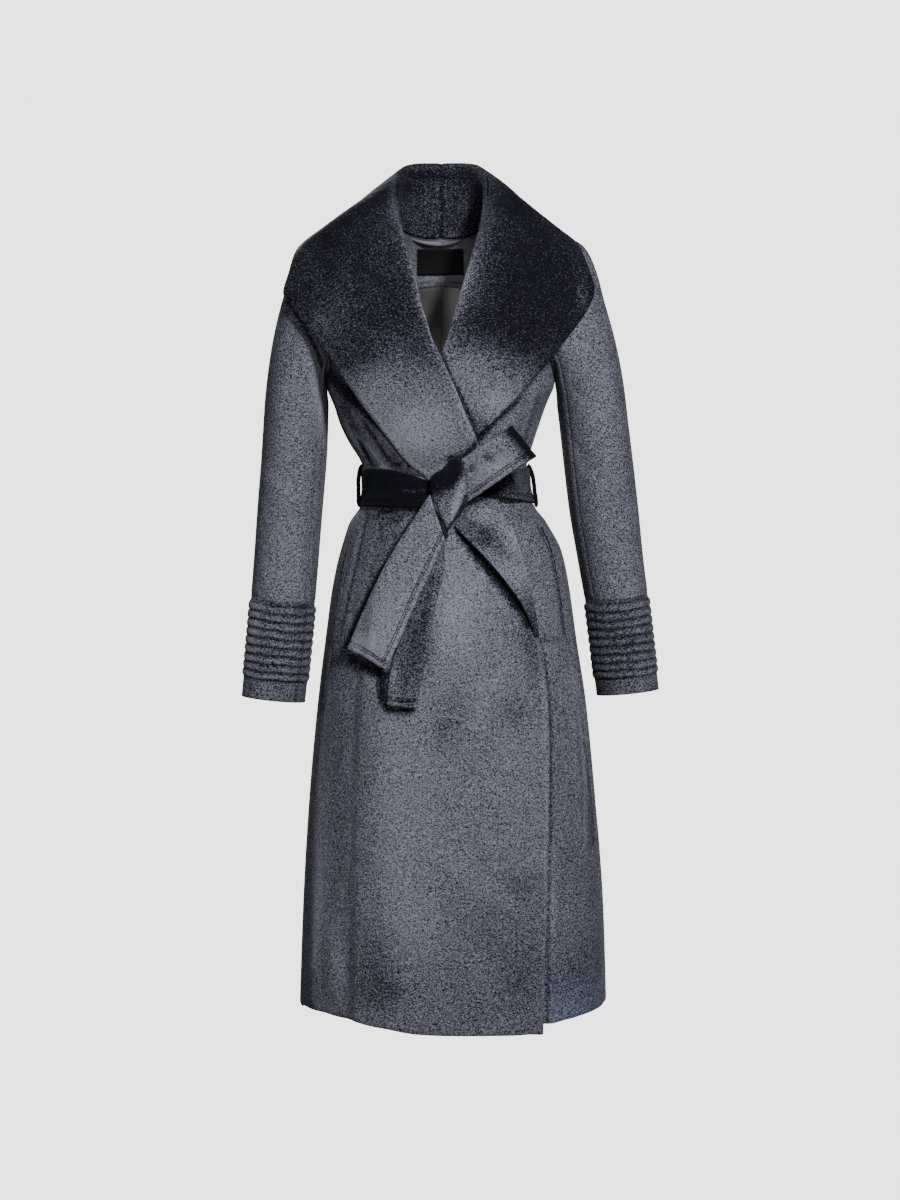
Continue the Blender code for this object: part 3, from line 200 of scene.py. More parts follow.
# Knot: level, left and right border, front and back; and its crest: level and x
KNOT = MM * np.array([
    (-311.5, 15, 27, 119.5, 113), (-313, 11.2, 32, 122.5, 113), (-316.5, 8.2, 33.5, 125, 113.5),
    (-321.5, 4.2, 34, 127.5, 113.5), (-326.2, 0.4, 34, 129.5, 113.5),
    (-331.2, -8.6, 34.3, 131.5, 113.5), (-337, -13.8, 34.5, 132.8, 113.5),
    (-343, -14.5, 34.5, 133.5, 113.5), (-360, -12.5, 34.2, 135, 114),
    (-376, -8.5, 30, 135.5, 116), (-392, -1, 23.5, 135, 119), (-405, 5.5, 16.5, 133, 121),
    (-412.5, 8.5, 12.5, 131, 122)])
KNOT_CREST = MM * np.array([
    (-412.5, 10), (-403.8, 11), (-382.4, 15), (-359.7, 20), (-339.7, 24), (-315, 28.5)])

# The belt's hanging ends: x and z down the left and the right edge, and the height of the cloth
TAIL_FRONT = MM * np.array([
    (-15, -360, 5, -417, 19.5), (-39, -396.5, -3, -437, 20.5), (-59, -427, -14, -461, 20),
    (-77, -458.6, -27.3, -489.2, 19), (-93.5, -491.9, -41, -519.9, 17.5),
    (-108.5, -525.2, -55, -552, 16.5), (-126.2, -567, -70.5, -588.5, 15)])
TAIL_REAR = MM * np.array([
    (-16, -419, 5.5, -416.5, 11), (-32, -460, 4.6, -457.7, 9), (-42, -495, -2.4, -490, 8),
    (-53, -540, -11.4, -530, 7.5), (-64, -595, -20.8, -587, 7),
    (-70.3, -638.4, -32.8, -641.1, 6.5)])


# ---------------------------------------------------------------- curves and grids
def smooth_table(table, at):
    """Every column of a table at the keys `at`, by a cubic that never overshoots its rows."""
    order = np.argsort(table[:, 0])
    keys, values = table[order, 0], table[order, 1:]
    at = np.clip(np.asarray(at, float), keys[0], keys[-1])
    rise = np.diff(values, axis=0) / np.diff(keys)[:, None]
    total, product = rise[:-1] + rise[1:], rise[:-1] * rise[1:]
    inner = np.where(product > 0, 2 * product / np.where(product > 0, total, 1), 0)
    slope = np.concatenate([rise[:1], inner, rise[-1:]])
    row = np.clip(np.searchsorted(keys, at, side="right") - 1, 0, len(keys) - 2)
    gap = np.diff(keys)[row][..., None]
    t = (at[..., None] - keys[row][..., None]) / gap
    return ((1 + 2 * t) * (1 - t) ** 2 * values[row] + t * (1 - t) ** 2 * gap * slope[row]
            + t * t * (3 - 2 * t) * values[row + 1] + t * t * (t - 1) * gap * slope[row + 1])


def columns_at(table, at):
    """The columns of a table at the keys `at`, one array for each."""
    return np.moveaxis(smooth_table(table, at), -1, 0)


def spread_rows(table, count):
    """A table's rows carried through smoothly: `count` rows, evenly spaced by row number."""
    keyed = np.column_stack([np.arange(len(table)), table])
    return smooth_table(keyed, np.linspace(0, len(table) - 1, count))


def ramp(value, start, end):
    """0 before start, 1 after end, with soft ends."""
    t = np.clip((value - start) / (end - start), 0, 1)
    return t * t * (3 - 2 * t)


def bell(distance, width):
    """1 at no distance, falling off as the exponential of its square."""
    return np.exp(-(distance / width) ** 2)


def signed_power(value, power):
    """The power of a value's size, with the value's sign."""
    return np.sign(value) * np.abs(value) ** power


def unit(vectors):
    """Vectors drawn to length 1."""
    return vectors / np.maximum(np.linalg.norm(vectors, axis=-1, keepdims=True), 1e-12)


def run_along(points, axis=0):
    """Length run from the first point of each line of a grid."""
    step = np.linalg.norm(np.diff(points, axis=axis), axis=-1)
    return np.concatenate([np.zeros_like(np.take(step, [0], axis)), np.cumsum(step, axis)], axis)


def grid_normals(points):
    """Unit normals of a grid of points, from the differences along its two directions."""
    return unit(np.cross(np.gradient(points, axis=0, edge_order=2),
                         np.gradient(points, axis=1, edge_order=2)))


# ---------------------------------------------------------------- the coat's body form
def fold_relief(angle, level):
    """How far the skirt's soft folds stand out: a bell across each fold, faded at its ends."""
    angle, level = np.broadcast_arrays(angle, level)
    relief = np.zeros(angle.shape)
    for middle, drift, top, bottom, width, height in FOLDS:
        away = (angle - middle - drift * (top - level) + 180) % 360 - 180
        fade = ramp(level, top, top - 0.12) * ramp(level, bottom, bottom + 0.12)
        relief += height * fade * bell(away, width)
    return relief


def rollover(level):
    """How far a section is on its way to the shoulder line, and the depth left front and back."""
    share = np.clip((level - CHEST_LEVEL) / -CHEST_LEVEL, 0, 1)
    return [share] + [np.maximum(1 - share ** power, 0) ** root for power, root in ROLLOVER]


def body_point(angle, level):
    """Points of the outer face. angle is in degrees from the front towards the wearer's left."""
    angle, level = np.broadcast_arrays(np.asarray(angle, float), np.asarray(level, float))
    half_width, centre, front, back = columns_at(BODY, level)
    share, left_front, left_back = rollover(level)
    side, forward = np.sin(np.radians(angle)), np.cos(np.radians(angle))
    depth = np.where(forward >= 0, front * left_front, back * left_back)
    relief = fold_relief(angle, level)
    x = centre + half_width * signed_power(side, 2 / SECTION_POWER) + relief * side
    y = -depth * signed_power(forward, 2 / SECTION_POWER) - relief * forward
    tilted = CHEST_LEVEL * (1 - share) + share * (SHOULDER_PEAK - SHOULDER_SLOPE * np.abs(x))
    hem = smooth_table(HEM_RISE, (angle + 180) % 360 - 180)[..., 0] * ramp(level, *HEM_FADE)
    return np.stack([x, y, np.where(level <= CHEST_LEVEL, level + hem, tilted)], axis=-1)


def level_of(x, z):
    """The level whose section passes through (x, z) in the front view."""
    reach = -CHEST_LEVEL + SHOULDER_PEAK - SHOULDER_SLOPE * np.abs(x)
    return np.where(z <= CHEST_LEVEL, z, CHEST_LEVEL * (1 - (z - CHEST_LEVEL) / reach))


def angle_of(x, level):
    """The angle from the front at which a section passes through x."""
    half_width, centre = columns_at(BODY, level)[:2]
    across = np.clip((x - centre) / half_width, -1, 1)
    return np.degrees(np.arcsin(signed_power(across, SECTION_POWER / 2)))


def section_depth(x, half_width, centre, front, most):
    """Depth of a section's front at x: a rounded oval, cut off at `most` of its half width."""
    across = np.clip(np.abs(x - centre) / half_width, 0, most)
    return -front * (1 - across ** SECTION_POWER) ** (1 / SECTION_POWER)


def front_y(x, z):
    """The outer face of the fronts as a height field over the front view."""
    level = level_of(x, z)
    half_width, centre, front, _ = columns_at(BODY, level)
    y = section_depth(x, half_width, centre, front * rollover(level)[1], 0.985)
    angle = angle_of(x, level)
    return y - fold_relief(angle, level) * np.cos(np.radians(angle))


def support_y(x, z):
    """The surface that the lapels lie on: the fronts, bridged across to the upper arms."""
    half_width, front = columns_at(SUPPORT, z)
    centre = columns_at(BODY, level_of(x, z))[1]
    bridge, fronts = section_depth(x, half_width, centre, front, 0.97), front_y(x, z)
    return fronts + ramp(z, -0.326, -0.300) * (soft_least(fronts, bridge) - fronts)


def soft_least(a, b, blend=SUPPORT_BLEND):
    """The lesser of two values, rounded where they meet."""
    return (a + b - np.sqrt((a - b) ** 2 + blend ** 2)) / 2


def slant(surface, x, z, step=0.004):
    """How much further forward a layer must go for each metre of thickness, on a slanted face."""
    by_x = (surface(x + step, z) - surface(x - step, z)) / (2 * step)
    by_z = (surface(x, z + step) - surface(x, z - step)) / (2 * step)
    return np.minimum(np.sqrt(1 + by_x ** 2 + by_z ** 2), 1.5)


def top_layer_lift(x, z):
    """How far the right front is carried out by the left front and lapel under it."""
    under_edge = np.minimum(smooth_table(EDGE_LEFT, z)[..., 0], LAPEL_LEFT[:, 0].min())
    over_front = ramp(x, under_edge - 0.024, under_edge - 0.006) * ramp(z, -0.135, -0.180)
    over_lapel = ramp(x, -0.062, -0.030) * ramp(z, -0.140, -0.185) * ramp(z, -0.332, -0.300)
    return OVER_FRONT * over_front + OVER_LAPEL * over_lapel


# ---------------------------------------------------------------- seam lines of the panels
def side_angle(level):
    """The side seam's angle from the front."""
    return smooth_table(SIDE_SEAM, level)[..., 0]


def panel_side(level, behind):
    """Side seam up to the underarm, then the armhole, as an angle from the front."""
    room = np.degrees(SEAM / smooth_table(BODY, level)[..., 0])
    hole = smooth_table(ARMHOLE, level)[..., 1 if behind else 0]
    away = room if behind else -room
    return np.where(level < UNDERARM_LEVEL, side_angle(level) + away, hole)


def front_edge_angle(lapel, edge, side, level):
    """The front's inner boundary: the neck, then behind the lapel's roll, then the free edge."""
    under_x = lapel[:, 0] + side * (lapel[:, 4] + LAPEL_SEAM)
    x = np.concatenate([side * NECK_SEAM[:, 0], under_x, edge[:, 1]])
    keys = level_of(x, np.concatenate([NECK_SEAM[:, 1], under_height(lapel), edge[:, 0]]))
    keys[0] = 0.0
    return smooth_table(np.column_stack([keys, angle_of(x, keys)]), level)[..., 0]


def under_height(lapel):
    """Heights of the line where the lapel's turned part meets the front."""
    return lapel[:, 1] - 0.35 * lapel[:, 4] * ramp(lapel[:, 1], -0.30, -0.15)


def neck_scoop(angle):
    """The level at which the back meets the oval of the neck seam, for angles from the front."""
    trial = np.linspace(-0.060, -0.00001, 300)
    x, y, _ = np.moveaxis(body_point(angle[:, None], trial), -1, 0)
    inside = (x / NECK_HALF_WIDTH) ** 2 + (y / NECK_BACK_DEPTH) ** 2 - 1
    return np.array([np.interp(0, -row, trial) for row in inside])


# ---------------------------------------------------------------- collar and lapels
def bezier(a, b, c, d, t):
    """A cubic from a to d with the handles b and c, at every t."""
    t = t[None, :, None]
    a, b, c, d = (p[:, None] for p in (a, b, c, d))
    return (1 - t) ** 3 * a + 3 * t * (1 - t) ** 2 * b + 3 * t * t * (1 - t) * c + t ** 3 * d


def collar_controls(side, lapel):
    """Seam, roll and edge of every section of a collar with its lapel.

    Each is (x, y, z, height). Round the neck y holds; on the lapel the height over the support
    does, and `flat` goes from 0 to 1 between them.
    """
    count, more = len(COLLAR), len(lapel)
    seam, roll, edge = (COLLAR[:, k:k + 3] * (side, 1, 1) for k in (0, 3, 6))
    edge = edge + REACH_SHARE[:, None] * np.array(COLLAR_REACH[side]) * (side, 1, 1)
    roll_x, roll_z, edge_x, edge_z, under, rounding, base, edge_height = lapel.T

    def joined(round_neck, round_height, x, z, height):
        y = support_y(x, z) - height * slant(support_y, x, z)
        return np.vstack([np.column_stack([round_neck, np.full(count, round_height)]),
                          np.column_stack([x, y, z, height])])

    on_lapel = np.zeros(more - 2)
    return np.column_stack([
        joined(seam, base[0], roll_x + side * under, under_height(lapel), base),
        joined(roll, base[0] + rounding[0], roll_x, roll_z, base + rounding),
        joined(edge, base[0], edge_x, edge_z, edge_height),
        np.concatenate([COLLAR[:, 9], [24.0, 10.0], on_lapel]),           # facing
        np.concatenate([COLLAR[:, 10], rounding]),                        # size of the roll
        np.concatenate([COLLAR[:, 11], [0.012, 0.004], on_lapel]),        # bulge
        np.concatenate([np.zeros(count), [0.45, 0.85], on_lapel + 1]),    # flat
        np.concatenate([np.zeros(4), [0.3, 1.0, 1.0], np.ones(more)])])   # over the fronts


def collar_surface(side, lapel, rows, stand_columns, fall_columns):
    """The middle surface of a collar with its lapel, as a grid from seam over roll to edge."""
    table = spread_rows(collar_controls(side, lapel), rows)
    seam, roll, edge = table[:, 0:4], table[:, 4:8], table[:, 8:12]
    facing, size, bulge, flat, front = table[:, 12:].T
    out, back = side * np.sin(np.radians(facing)), -np.cos(np.radians(facing))
    push = np.column_stack([out, back, 0 * out, 0 * out + 1]) * size[:, None]
    lifted = unit(np.column_stack([0.5 * out, back, 0 * out + 0.7, 0 * out])) * bulge[:, None]
    foot, crown = roll - push, roll + push
    hang = crown + (edge - crown) * np.array([0.55, 0.55, 0.60, 0.10])
    stand = bezier(seam, seam + 0.62 * (foot - seam), foot, roll, np.linspace(0, 1, stand_columns))
    fall = bezier(roll, crown + lifted, hang + lifted, edge,
                  np.linspace(0, 1, fall_columns) ** 1.35)
    x, y, z, height = np.moveaxis(np.concatenate([stand, fall[:, 1:]], axis=1), -1, 0)
    laid = support_y(x, z) - height * slant(support_y, x, z)
    y = y + flat[:, None] * (laid - y)
    over = np.arange(y.shape[1]) > stand_columns
    kept = soft_least(y, front_y(x, z) - COLLAR_CLEARANCE * slant(front_y, x, z), 0.004)
    y = y + over * front[:, None] * (1 - flat[:, None]) * (kept - y)
    return np.stack([x, y, z], axis=-1)


# ---------------------------------------------------------------- sleeves
def armhole_loop(side, turn):
    """The armhole at angles `turn`: 0 at the underarm, 90 in front, 180 on the shoulder."""
    turn = turn % 360
    in_front = turn <= 180
    climb = np.where(in_front, turn, 360 - turn) / 180
    level = UNDERARM_LEVEL * (1 - ramp(climb, -0.12, 1.12))
    level = np.where(climb <= 0, UNDERARM_LEVEL, np.where(climb >= 1, 0.0, level))
    front, back = columns_at(ARMHOLE, level)
    angle = np.where((climb <= 0) | (climb >= 1), 90.0, np.where(in_front, front, back))
    return body_point(side * angle, level)


def sleeve_ring(side, table, turn, level, tilt=CUFF_TILT):
    """An oval ring of the sleeve round its centre line, dropped towards the body by `tilt`."""
    centre, half_width, half_depth, centre_y = columns_at(table, level)
    across = -np.cos(np.radians(turn)) * half_width
    y = centre_y - np.sin(np.radians(turn)) * half_depth
    return np.stack([centre + side * across, y, level + tilt * across], axis=-1)


def sleeve_surface(side, table, turn, cap_rows, arm_rows, end_level, top_level=-0.240):
    """Grid over a sleeve: a cap from the armhole to the upper arm, then rings to the cuff."""
    out = np.array([side, 0.0, 0.0])
    start = armhole_loop(side, turn) + out * 0.0013
    first = sleeve_ring(side, table, turn, np.full(turn.shape, top_level), tilt=0.0)
    upper = (1 - np.cos(np.radians(turn)))[:, None] / 2
    drop = (0.012 + 0.105 * upper) * np.array([0.0, 0.0, 1.0])
    cap = bezier(start, start + (0.010 + 0.018 * upper) * out, first + drop - 0.012 * upper * out,
                 first, np.linspace(0, 1, cap_rows))
    levels = np.linspace(top_level, end_level, arm_rows)[1:]
    tilts = CUFF_TILT * ramp(levels, top_level, top_level - 0.15)
    arm = np.stack([sleeve_ring(side, table, turn, np.full(turn.shape, level), tilt)
                    for level, tilt in zip(levels, tilts)], axis=1)
    return np.concatenate([cap, arm], axis=1)


def belt_lift(x):
    """Room under the belt for the layers at the front."""
    return BELT_CLEARANCE + BELT_OVER_FRONTS * ramp(x, -0.086, -0.054) * ramp(x, 0.112, 0.088)


def back_place(x, z):
    """Points of the back's outer face that lie at (x, z) in the front view."""
    level = level_of(x, z)
    return body_point(180 - angle_of(x, level), level) + (0.0, SEAM, 0.0)


# ---------------------------------------------------------------- shader maths
def joined_by(operation, reflected=False):
    """A method that joins a shader value and another value by a Math node."""
    def join(self, other):
        first, second = (other, self) if reflected else (self, other)
        return self.dye.node("ShaderNodeMath", {"operation": operation}, {0: first, 1: second})
    return join


class Shade:
    """A shader value. Arithmetic on it adds Math nodes to the same material."""

    __add__, __radd__ = joined_by("ADD"), joined_by("ADD", reflected=True)
    __sub__, __rsub__ = joined_by("SUBTRACT"), joined_by("SUBTRACT", reflected=True)
    __mul__, __rmul__ = joined_by("MULTIPLY"), joined_by("MULTIPLY", reflected=True)
    at_least, at_most = joined_by("MAXIMUM"), joined_by("MINIMUM")

    def __init__(self, dye, socket):
        self.dye, self.socket = dye, socket

    def clamped(self):
        """The value, held between 0 and 1."""
        return self.at_least(0.0).at_most(1.0)


class Dye:
    """One material: a Principled shader and whatever nodes feed it."""

    def __init__(self, name, roughness, sheen=0.0, sheen_tint=(1, 1, 1), specular=0.3):
        self.material = bpy.data.materials.new(name)
        self.material.use_nodes = True
        self.tree = self.material.node_tree
        self.shader = self.tree.nodes["Principled BSDF"]
        for key, value in {"Roughness": roughness, "Specular IOR Level": specular,
                           "Sheen Weight": sheen, "Sheen Roughness": 0.45,
                           "Sheen Tint": (*sheen_tint, 1.0)}.items():
            self.shader.inputs[key].default_value = value

    def node(self, kind, settings=None, inputs=None, output=0):
        """Any node: its settings are set first, then its inputs take values or links."""
        made = self.tree.nodes.new(kind)
        for key, value in (settings or {}).items():
            setattr(made, key, value)
        for key, value in (inputs or {}).items():
            if isinstance(value, Shade):
                self.tree.links.new(value.socket, made.inputs[key])
            else:
                made.inputs[key].default_value = value
        return Shade(self, made.outputs[output])

    def place(self, scale=(1, 1, 1), turn=(0, 0, 0)):
        """Object coordinates, scaled and turned."""
        coordinates = self.node("ShaderNodeTexCoord", output="Object")
        return self.node("ShaderNodeMapping", inputs={"Vector": coordinates, "Scale": scale,
                                                      "Rotation": turn})

    def noise(self, where, scale, detail=2.0, distortion=0.0):
        """A cloudy noise, with `detail` finer noises on top."""
        return self.node("ShaderNodeTexNoise", inputs={
            "Vector": where, "Scale": scale, "Detail": detail, "Roughness": 0.5,
            "Distortion": distortion})

    def attribute(self, name):
        """A value that the mesh stores for each point."""
        return self.node("ShaderNodeAttribute", {"attribute_name": name}, output="Fac")

    def blend(self, share, first, second):
        """first where share is 0 and second where it is 1; both are colours."""
        return self.node("ShaderNodeMix", {"data_type": "RGBA"},
                         {"Factor": share, 6: first, 7: second}, output=2)

    def bump(self, height, strength, distance):
        """Raises the surface's shading by a height."""
        self.feed("Normal", self.node("ShaderNodeBump", inputs={
            "Height": height, "Strength": strength, "Distance": distance}))

    def feed(self, name, value):
        """Links a value to one of the shader's sockets."""
        self.tree.links.new(value.socket, self.shader.inputs[name])


def pile_cloth(name, deep, middle, pale, turn=0.0):
    """Brushed pile: the hairs lie in short wavy ripples that run across the nap.

    The ripples are a noise drawn out sideways. `turn` tilts them in the front view.
    The tone is a point attribute of nap tone with painted light, shade and sheen, and ripples,
    tufts and a cloudiness vary it. It runs from deep over middle, at a quarter, to pale, which
    the attribute cool turns bluer.
    """
    dye = Dye(name, 0.85, sheen=0.04, sheen_tint=(0.80, 0.84, 1.0), specular=0.06)
    across = dye.place(scale=(360.0, 360.0, 600.0), turn=(0.0, np.radians(turn), 0.0))
    ripple = dye.noise(across, 1.0, detail=1.0, distortion=0.7)
    tuft = dye.noise(dye.place(), 660.0, detail=0.0)
    cloud = dye.noise(dye.place(), 24.0, detail=3.0)
    tone = dye.attribute("tone_and_painted_light")
    mark = (ripple - 0.5) * 3.20 + (tuft - 0.5) * 2.60 + (cloud - 0.5) * 0.25
    share = (tone * (mark * (0.85 - tone * 0.45) + 1.0) + mark * (0.32 - tone * 0.26)).clamped()
    shadowed = dye.blend((share * 4.0).clamped(), deep, middle)
    bluer = (*np.multiply(pale[:3], (0.80, 0.94, 1.22)), 1.0)
    cool = dye.blend(dye.attribute("cool"), pale, bluer)
    dye.feed("Base Color", dye.blend((share * 1.3333 - 0.3333).clamped(), shadowed, cool))
    dye.bump(ripple + tuft * 0.6, 0.60, 0.0014)
    return dye.material


def satin(name, deep, pale, roughness, specular, lit=False):
    """Smooth lining: a fine twill with a faint cloudiness. lit lets the point attribute, which
    carries painted light and shade, take it down towards black.
    """
    dye = Dye(name, roughness, specular=specular)
    twill = dye.noise(dye.place(scale=(900.0, 900.0, 260.0), turn=(0.0, 0.6, 0.0)), 1.0)
    weave = dye.blend((twill * 0.6 + dye.noise(dye.place(), 22.0) * 0.4).clamped(), deep, pale)
    if lit:
        weave = dye.blend(dye.attribute("tone_and_painted_light").clamped(), (0.0, 0.0, 0.0, 1.0), weave)
    dye.feed("Base Color", weave)
    dye.bump(twill, 0.12, 0.0005)
    return dye.material


def plain_weave(name, deep, pale):
    """The label: a close woven ribbon."""
    dye = Dye(name, 0.6, specular=0.25)
    warp = dye.noise(dye.place(scale=(1500.0, 1500.0, 500.0)), 1.0, detail=1.0)
    weft = dye.noise(dye.place(scale=(400.0, 400.0, 1800.0)), 1.0, detail=1.0)
    dye.feed("Base Color", dye.blend((warp * 0.5 + weft * 0.5).clamped(), deep, pale))
    dye.bump(warp + weft, 0.15, 0.0004)
    return dye.material


def thread(name, deep, pale):
    """Sewing thread, in two near tones."""
    dye = Dye(name, 0.9, specular=0.05)
    dye.feed("Base Color", dye.blend(dye.noise(dye.place(), 900.0, detail=1.0), deep, pale))
    return dye.material


COAT_TONES = ((0.0024, 0.0024, 0.0046, 1.0), (0.044, 0.044, 0.060, 1.0),
              (0.188, 0.188, 0.228, 1.0))
COAT = pile_cloth("coat_pile", *COAT_TONES)
COLLAR_PILE = {-1: pile_cloth("collar_pile_right", *COAT_TONES, 32.0),
               1: pile_cloth("collar_pile_left", *COAT_TONES, -40.0)}
CUFF = pile_cloth("cuff_pile", *COAT_TONES)
# A paler copy of the coat's pile for the neck's facing: painted light in place of the light that
# the collar keeps from inside the neck.
LIT_FACING_PILE = pile_cloth("facing_pile_painted_lighter", (0.040, 0.040, 0.050, 1.0), (0.088, 0.088, 0.106, 1.0),
                         (0.170, 0.170, 0.200, 1.0))
# The lining's pale colours are taken down by the painted tone, which also paints light on the side
# of the neck that the collar shades.
LINING = satin("lining_satin", (0.780, 0.780, 0.790, 1.0), (0.880, 0.880, 0.890, 1.0), 0.7,
               0.05, lit=True)
LABEL = plain_weave("label_ribbon", (0.0015, 0.0015, 0.0017, 1.0), (0.004, 0.004, 0.0045, 1.0))
LOOP = satin("hanger_satin", (0.040, 0.042, 0.046, 1.0), (0.064, 0.067, 0.074, 1.0), 0.55, 0.35)
THREAD = thread("sewing_thread", (0.0015, 0.0015, 0.0025, 1.0), (0.006, 0.006, 0.009, 1.0))


# ---------------------------------------------------------------- painted light and shade, and finer creases
# How pale each piece is set against the rest, which is 1: partly painted shade, as the collars and
# the belt band are painted dark only where they face forwards
PIECE_TONE_AND_SHADE = {
    "belt_band": -0.55, "belt_tail_rear": 0.60, "belt_tail_front": 1.12, "belt_loop": 1.15,
    "belt_knot": 0.95, "collar_right": -0.02, "collar_left": -0.14, "sleeve_upper_right": 0.95,
    "sleeve_under_right": 0.95, "sleeve_upper_left": 0.93, "sleeve_under_left": 0.93,
    "front_right": 0.96, "front_left": 0.95, "back_lining": 0.16}
TONE_RANGE = -0.16, 1.0
NAP_INSIDE, NAP_LINED = 0.35, 0.08    # the tone of a bare inside, and of one with a lining
NAP_EDGE = 0.75                       # and of an edge, as a share of the outer face's

# Painted light and shade on each part of the coat: patches of painted shadow, of shade in folds
# and hollows and of painted highlight and sheen, and inside the neck and on the sleeves painted
# light where the collar's shadow falls. Each has its place in the front view, reach across and
# up, turn in degrees, amount in hundredths
PAINTED_LIGHT_PATCHES = {piece: np.array(rows) * (MM, MM, MM, MM, 1, 0.01) for piece, rows in {
    "front_right": [
        (-135, -800, 38, 200, -4, -5), (-118, -780, 8, 120, 0, 16),
        (-166, -880, 10, 150, -4.7, 14), (-60, -800, 28, 230, 0, 11),
        (-146, -985, 16, 55, 10, 12), (-80, -995, 32, 60, 0, -20), (108, -995, 36, 60, 0, -15),
        (12, -655, 30, 45, -25, -12), (-16, -730, 26, 80, 0, 8), (8, -690, 20, 30, 0, -10),
        (-78, -1025, 34, 30, 0, -14), (-26, -930, 30, 50, 0, 12), (124, -580, 12, 50, 0, -14),
        (-16, -545, 8, 50, 0, -26), (50, -645, 16, 50, -30, 10), (98, -650, 24, 22, 0, -16),
        (48, -872, 14, 80, 55, 8), (110, -882, 30, 20, 0, -14), (60, -930, 80, 70, 0, -10),
        (40, -1060, 120, 60, 0, -12), (113, -551, 20, 35, 30, -16), (20, -500, 40, 90, 0, 24),
        (-60, -440, 40, 50, 20, -12), (-100, -290, 36, 40, 0, 22)],
    "front_left": [
        (147, -780, 8, 160, 0, 12), (147, -905, 8, 70, 0, 16), (152, -720, 12, 110, 0, -8),
        (58, -388, 16, 12, -20, 24), (78, -434, 28, 16, -40, -34), (150, -415, 10, 34, 25, 24),
        (180, -900, 40, 120, 0, -8), (180, -1010, 60, 40, 0, -14)],
    "collar_right": [
        (-92, -192, 30, 26, 0, -2), (-165, -132, 18, 20, 40, 14), (-108, -50, 14, 40, -12, -10),
        (-60, -190, 24, 30, 0, 10), (-24, 86, 36, 6, 0, -16), (-66, 56, 34, 12, 32, -18),
        (-160, 7, 80, 45, -35, -4), (-150, -30, 20, 60, 0, -5), (-105, -45, 22, 60, -30, 6),
        (-147, -101, 30, 40, 0, 5), (-40, -284, 120, 80, 10, 76), (-100, -222, 40, 24, 45, 26),
        (-145, -150, 40, 30, 45, 6), (58, -388, 16, 12, -20, 24), (78, -434, 28, 16, -40, -34),
        (90, -440, 60, 75, 0, 66), (62, -411, 20, 16, 0, -30), (113, -551, 20, 35, 30, -14)],
    "collar_left": [
        (104, -168, 30, 34, -40, -5), (62, -176, 28, 22, 0, 22), (70, -258, 22, 16, 0, -14),
        (24, 86, 36, 6, 0, -16), (18, -4, 20, 8, 0, 16), (78, 52, 40, 16, -38, -24),
        (115, -40, 70, 110, 20, -5), (22, -190, 30, 34, 0, 46), (64, -254, 80, 47, 42, 80),
        (50, -268, 32, 20, -30, -34), (86, -295, 20, 14, 0, -25), (192, -90, 8, 30, 0, 16)],
    "belt_band": [(100, -352, 34, 50, 0, 34), (-26, -350, 14, 16, 0, 5)],
    "belt_knot": [
        (6, -331, 26, 19, 25, -105), (-4, -350, 14, 16, 0, -25), (24, -362, 5, 34, -14, 40),
        (34, -374, 6, 22, -22, -40), (10, -396, 10, 14, 0, 20)],
    "belt_loop": [
        (104, -290, 14, 50, 39, -46), (109, -289.5, 6, 50, 39, -50), (63, -311.5, 7, 6.5, 0, -50),
        (41, -326, 4.5, 4.5, 0, -42), (84, -299, 6, 5, 0, -15), (34, -340, 6, 14, 0, -25),
        (80, -322, 30, 16, 35, 10), (60, -326, 30, 12, 30, 22)],
    "belt_tail_front": [(-106, -560, 20, 13, 25, 45), (-80, -530, 50, 100, 30, 18)],
    "belt_tail_rear": [
        (-36, -555, 11, 50, 8, -16), (-64, -600, 7, 36, 4, 34), (-50, -600, 10, 30, 0, -14),
        (-20, -520, 6, 50, -6, -22)],
    "sleeve_upper_right": [
        (-216, -330, 20, 180, 3, 2), (-161, -215, 10, 50, 0, 80), (-252, -330, 12, 200, 3, 8)],
    "sleeve_upper_left": [(250, -350, 16, 200, -6, -5), (178, -300, 10, 90, 8, 24)],
    "sleeve_under_left": [(178, -300, 12, 90, 8, 24)],
    "sleeve_under_right": [(-161, -215, 10, 50, 0, 80)],
    "cuff_left": [(201, -550, 12, 80, 8, 62), (252, -565, 22, 70, 8, -20)],
    "cuff_right": [
        (-262, -550, 10, 80, -8, 62), (-178, -560, 8, 80, -8, 24), (-208, -540, 18, 60, -8, -8)],
    "neck_facing": [
        (-34, -50, 14, 40, 0, -16), (36, -40, 20, 40, 0, 45), (28, -64, 18, 14, 0, 50),
        (12, -70, 40, 12, 0, 16), (22, -74, 14, 10, 0, 45), (-22, -74, 16, 12, 0, -40)],
    "back_lining": [
        (-34, -85, 20, 50, 0, -4), (22, -110, 15, 60, 0, 55), (-20, -134, 14, 30, 0, 12),
        (-4, -165, 30, 28, 0, 50)],
}.items()}
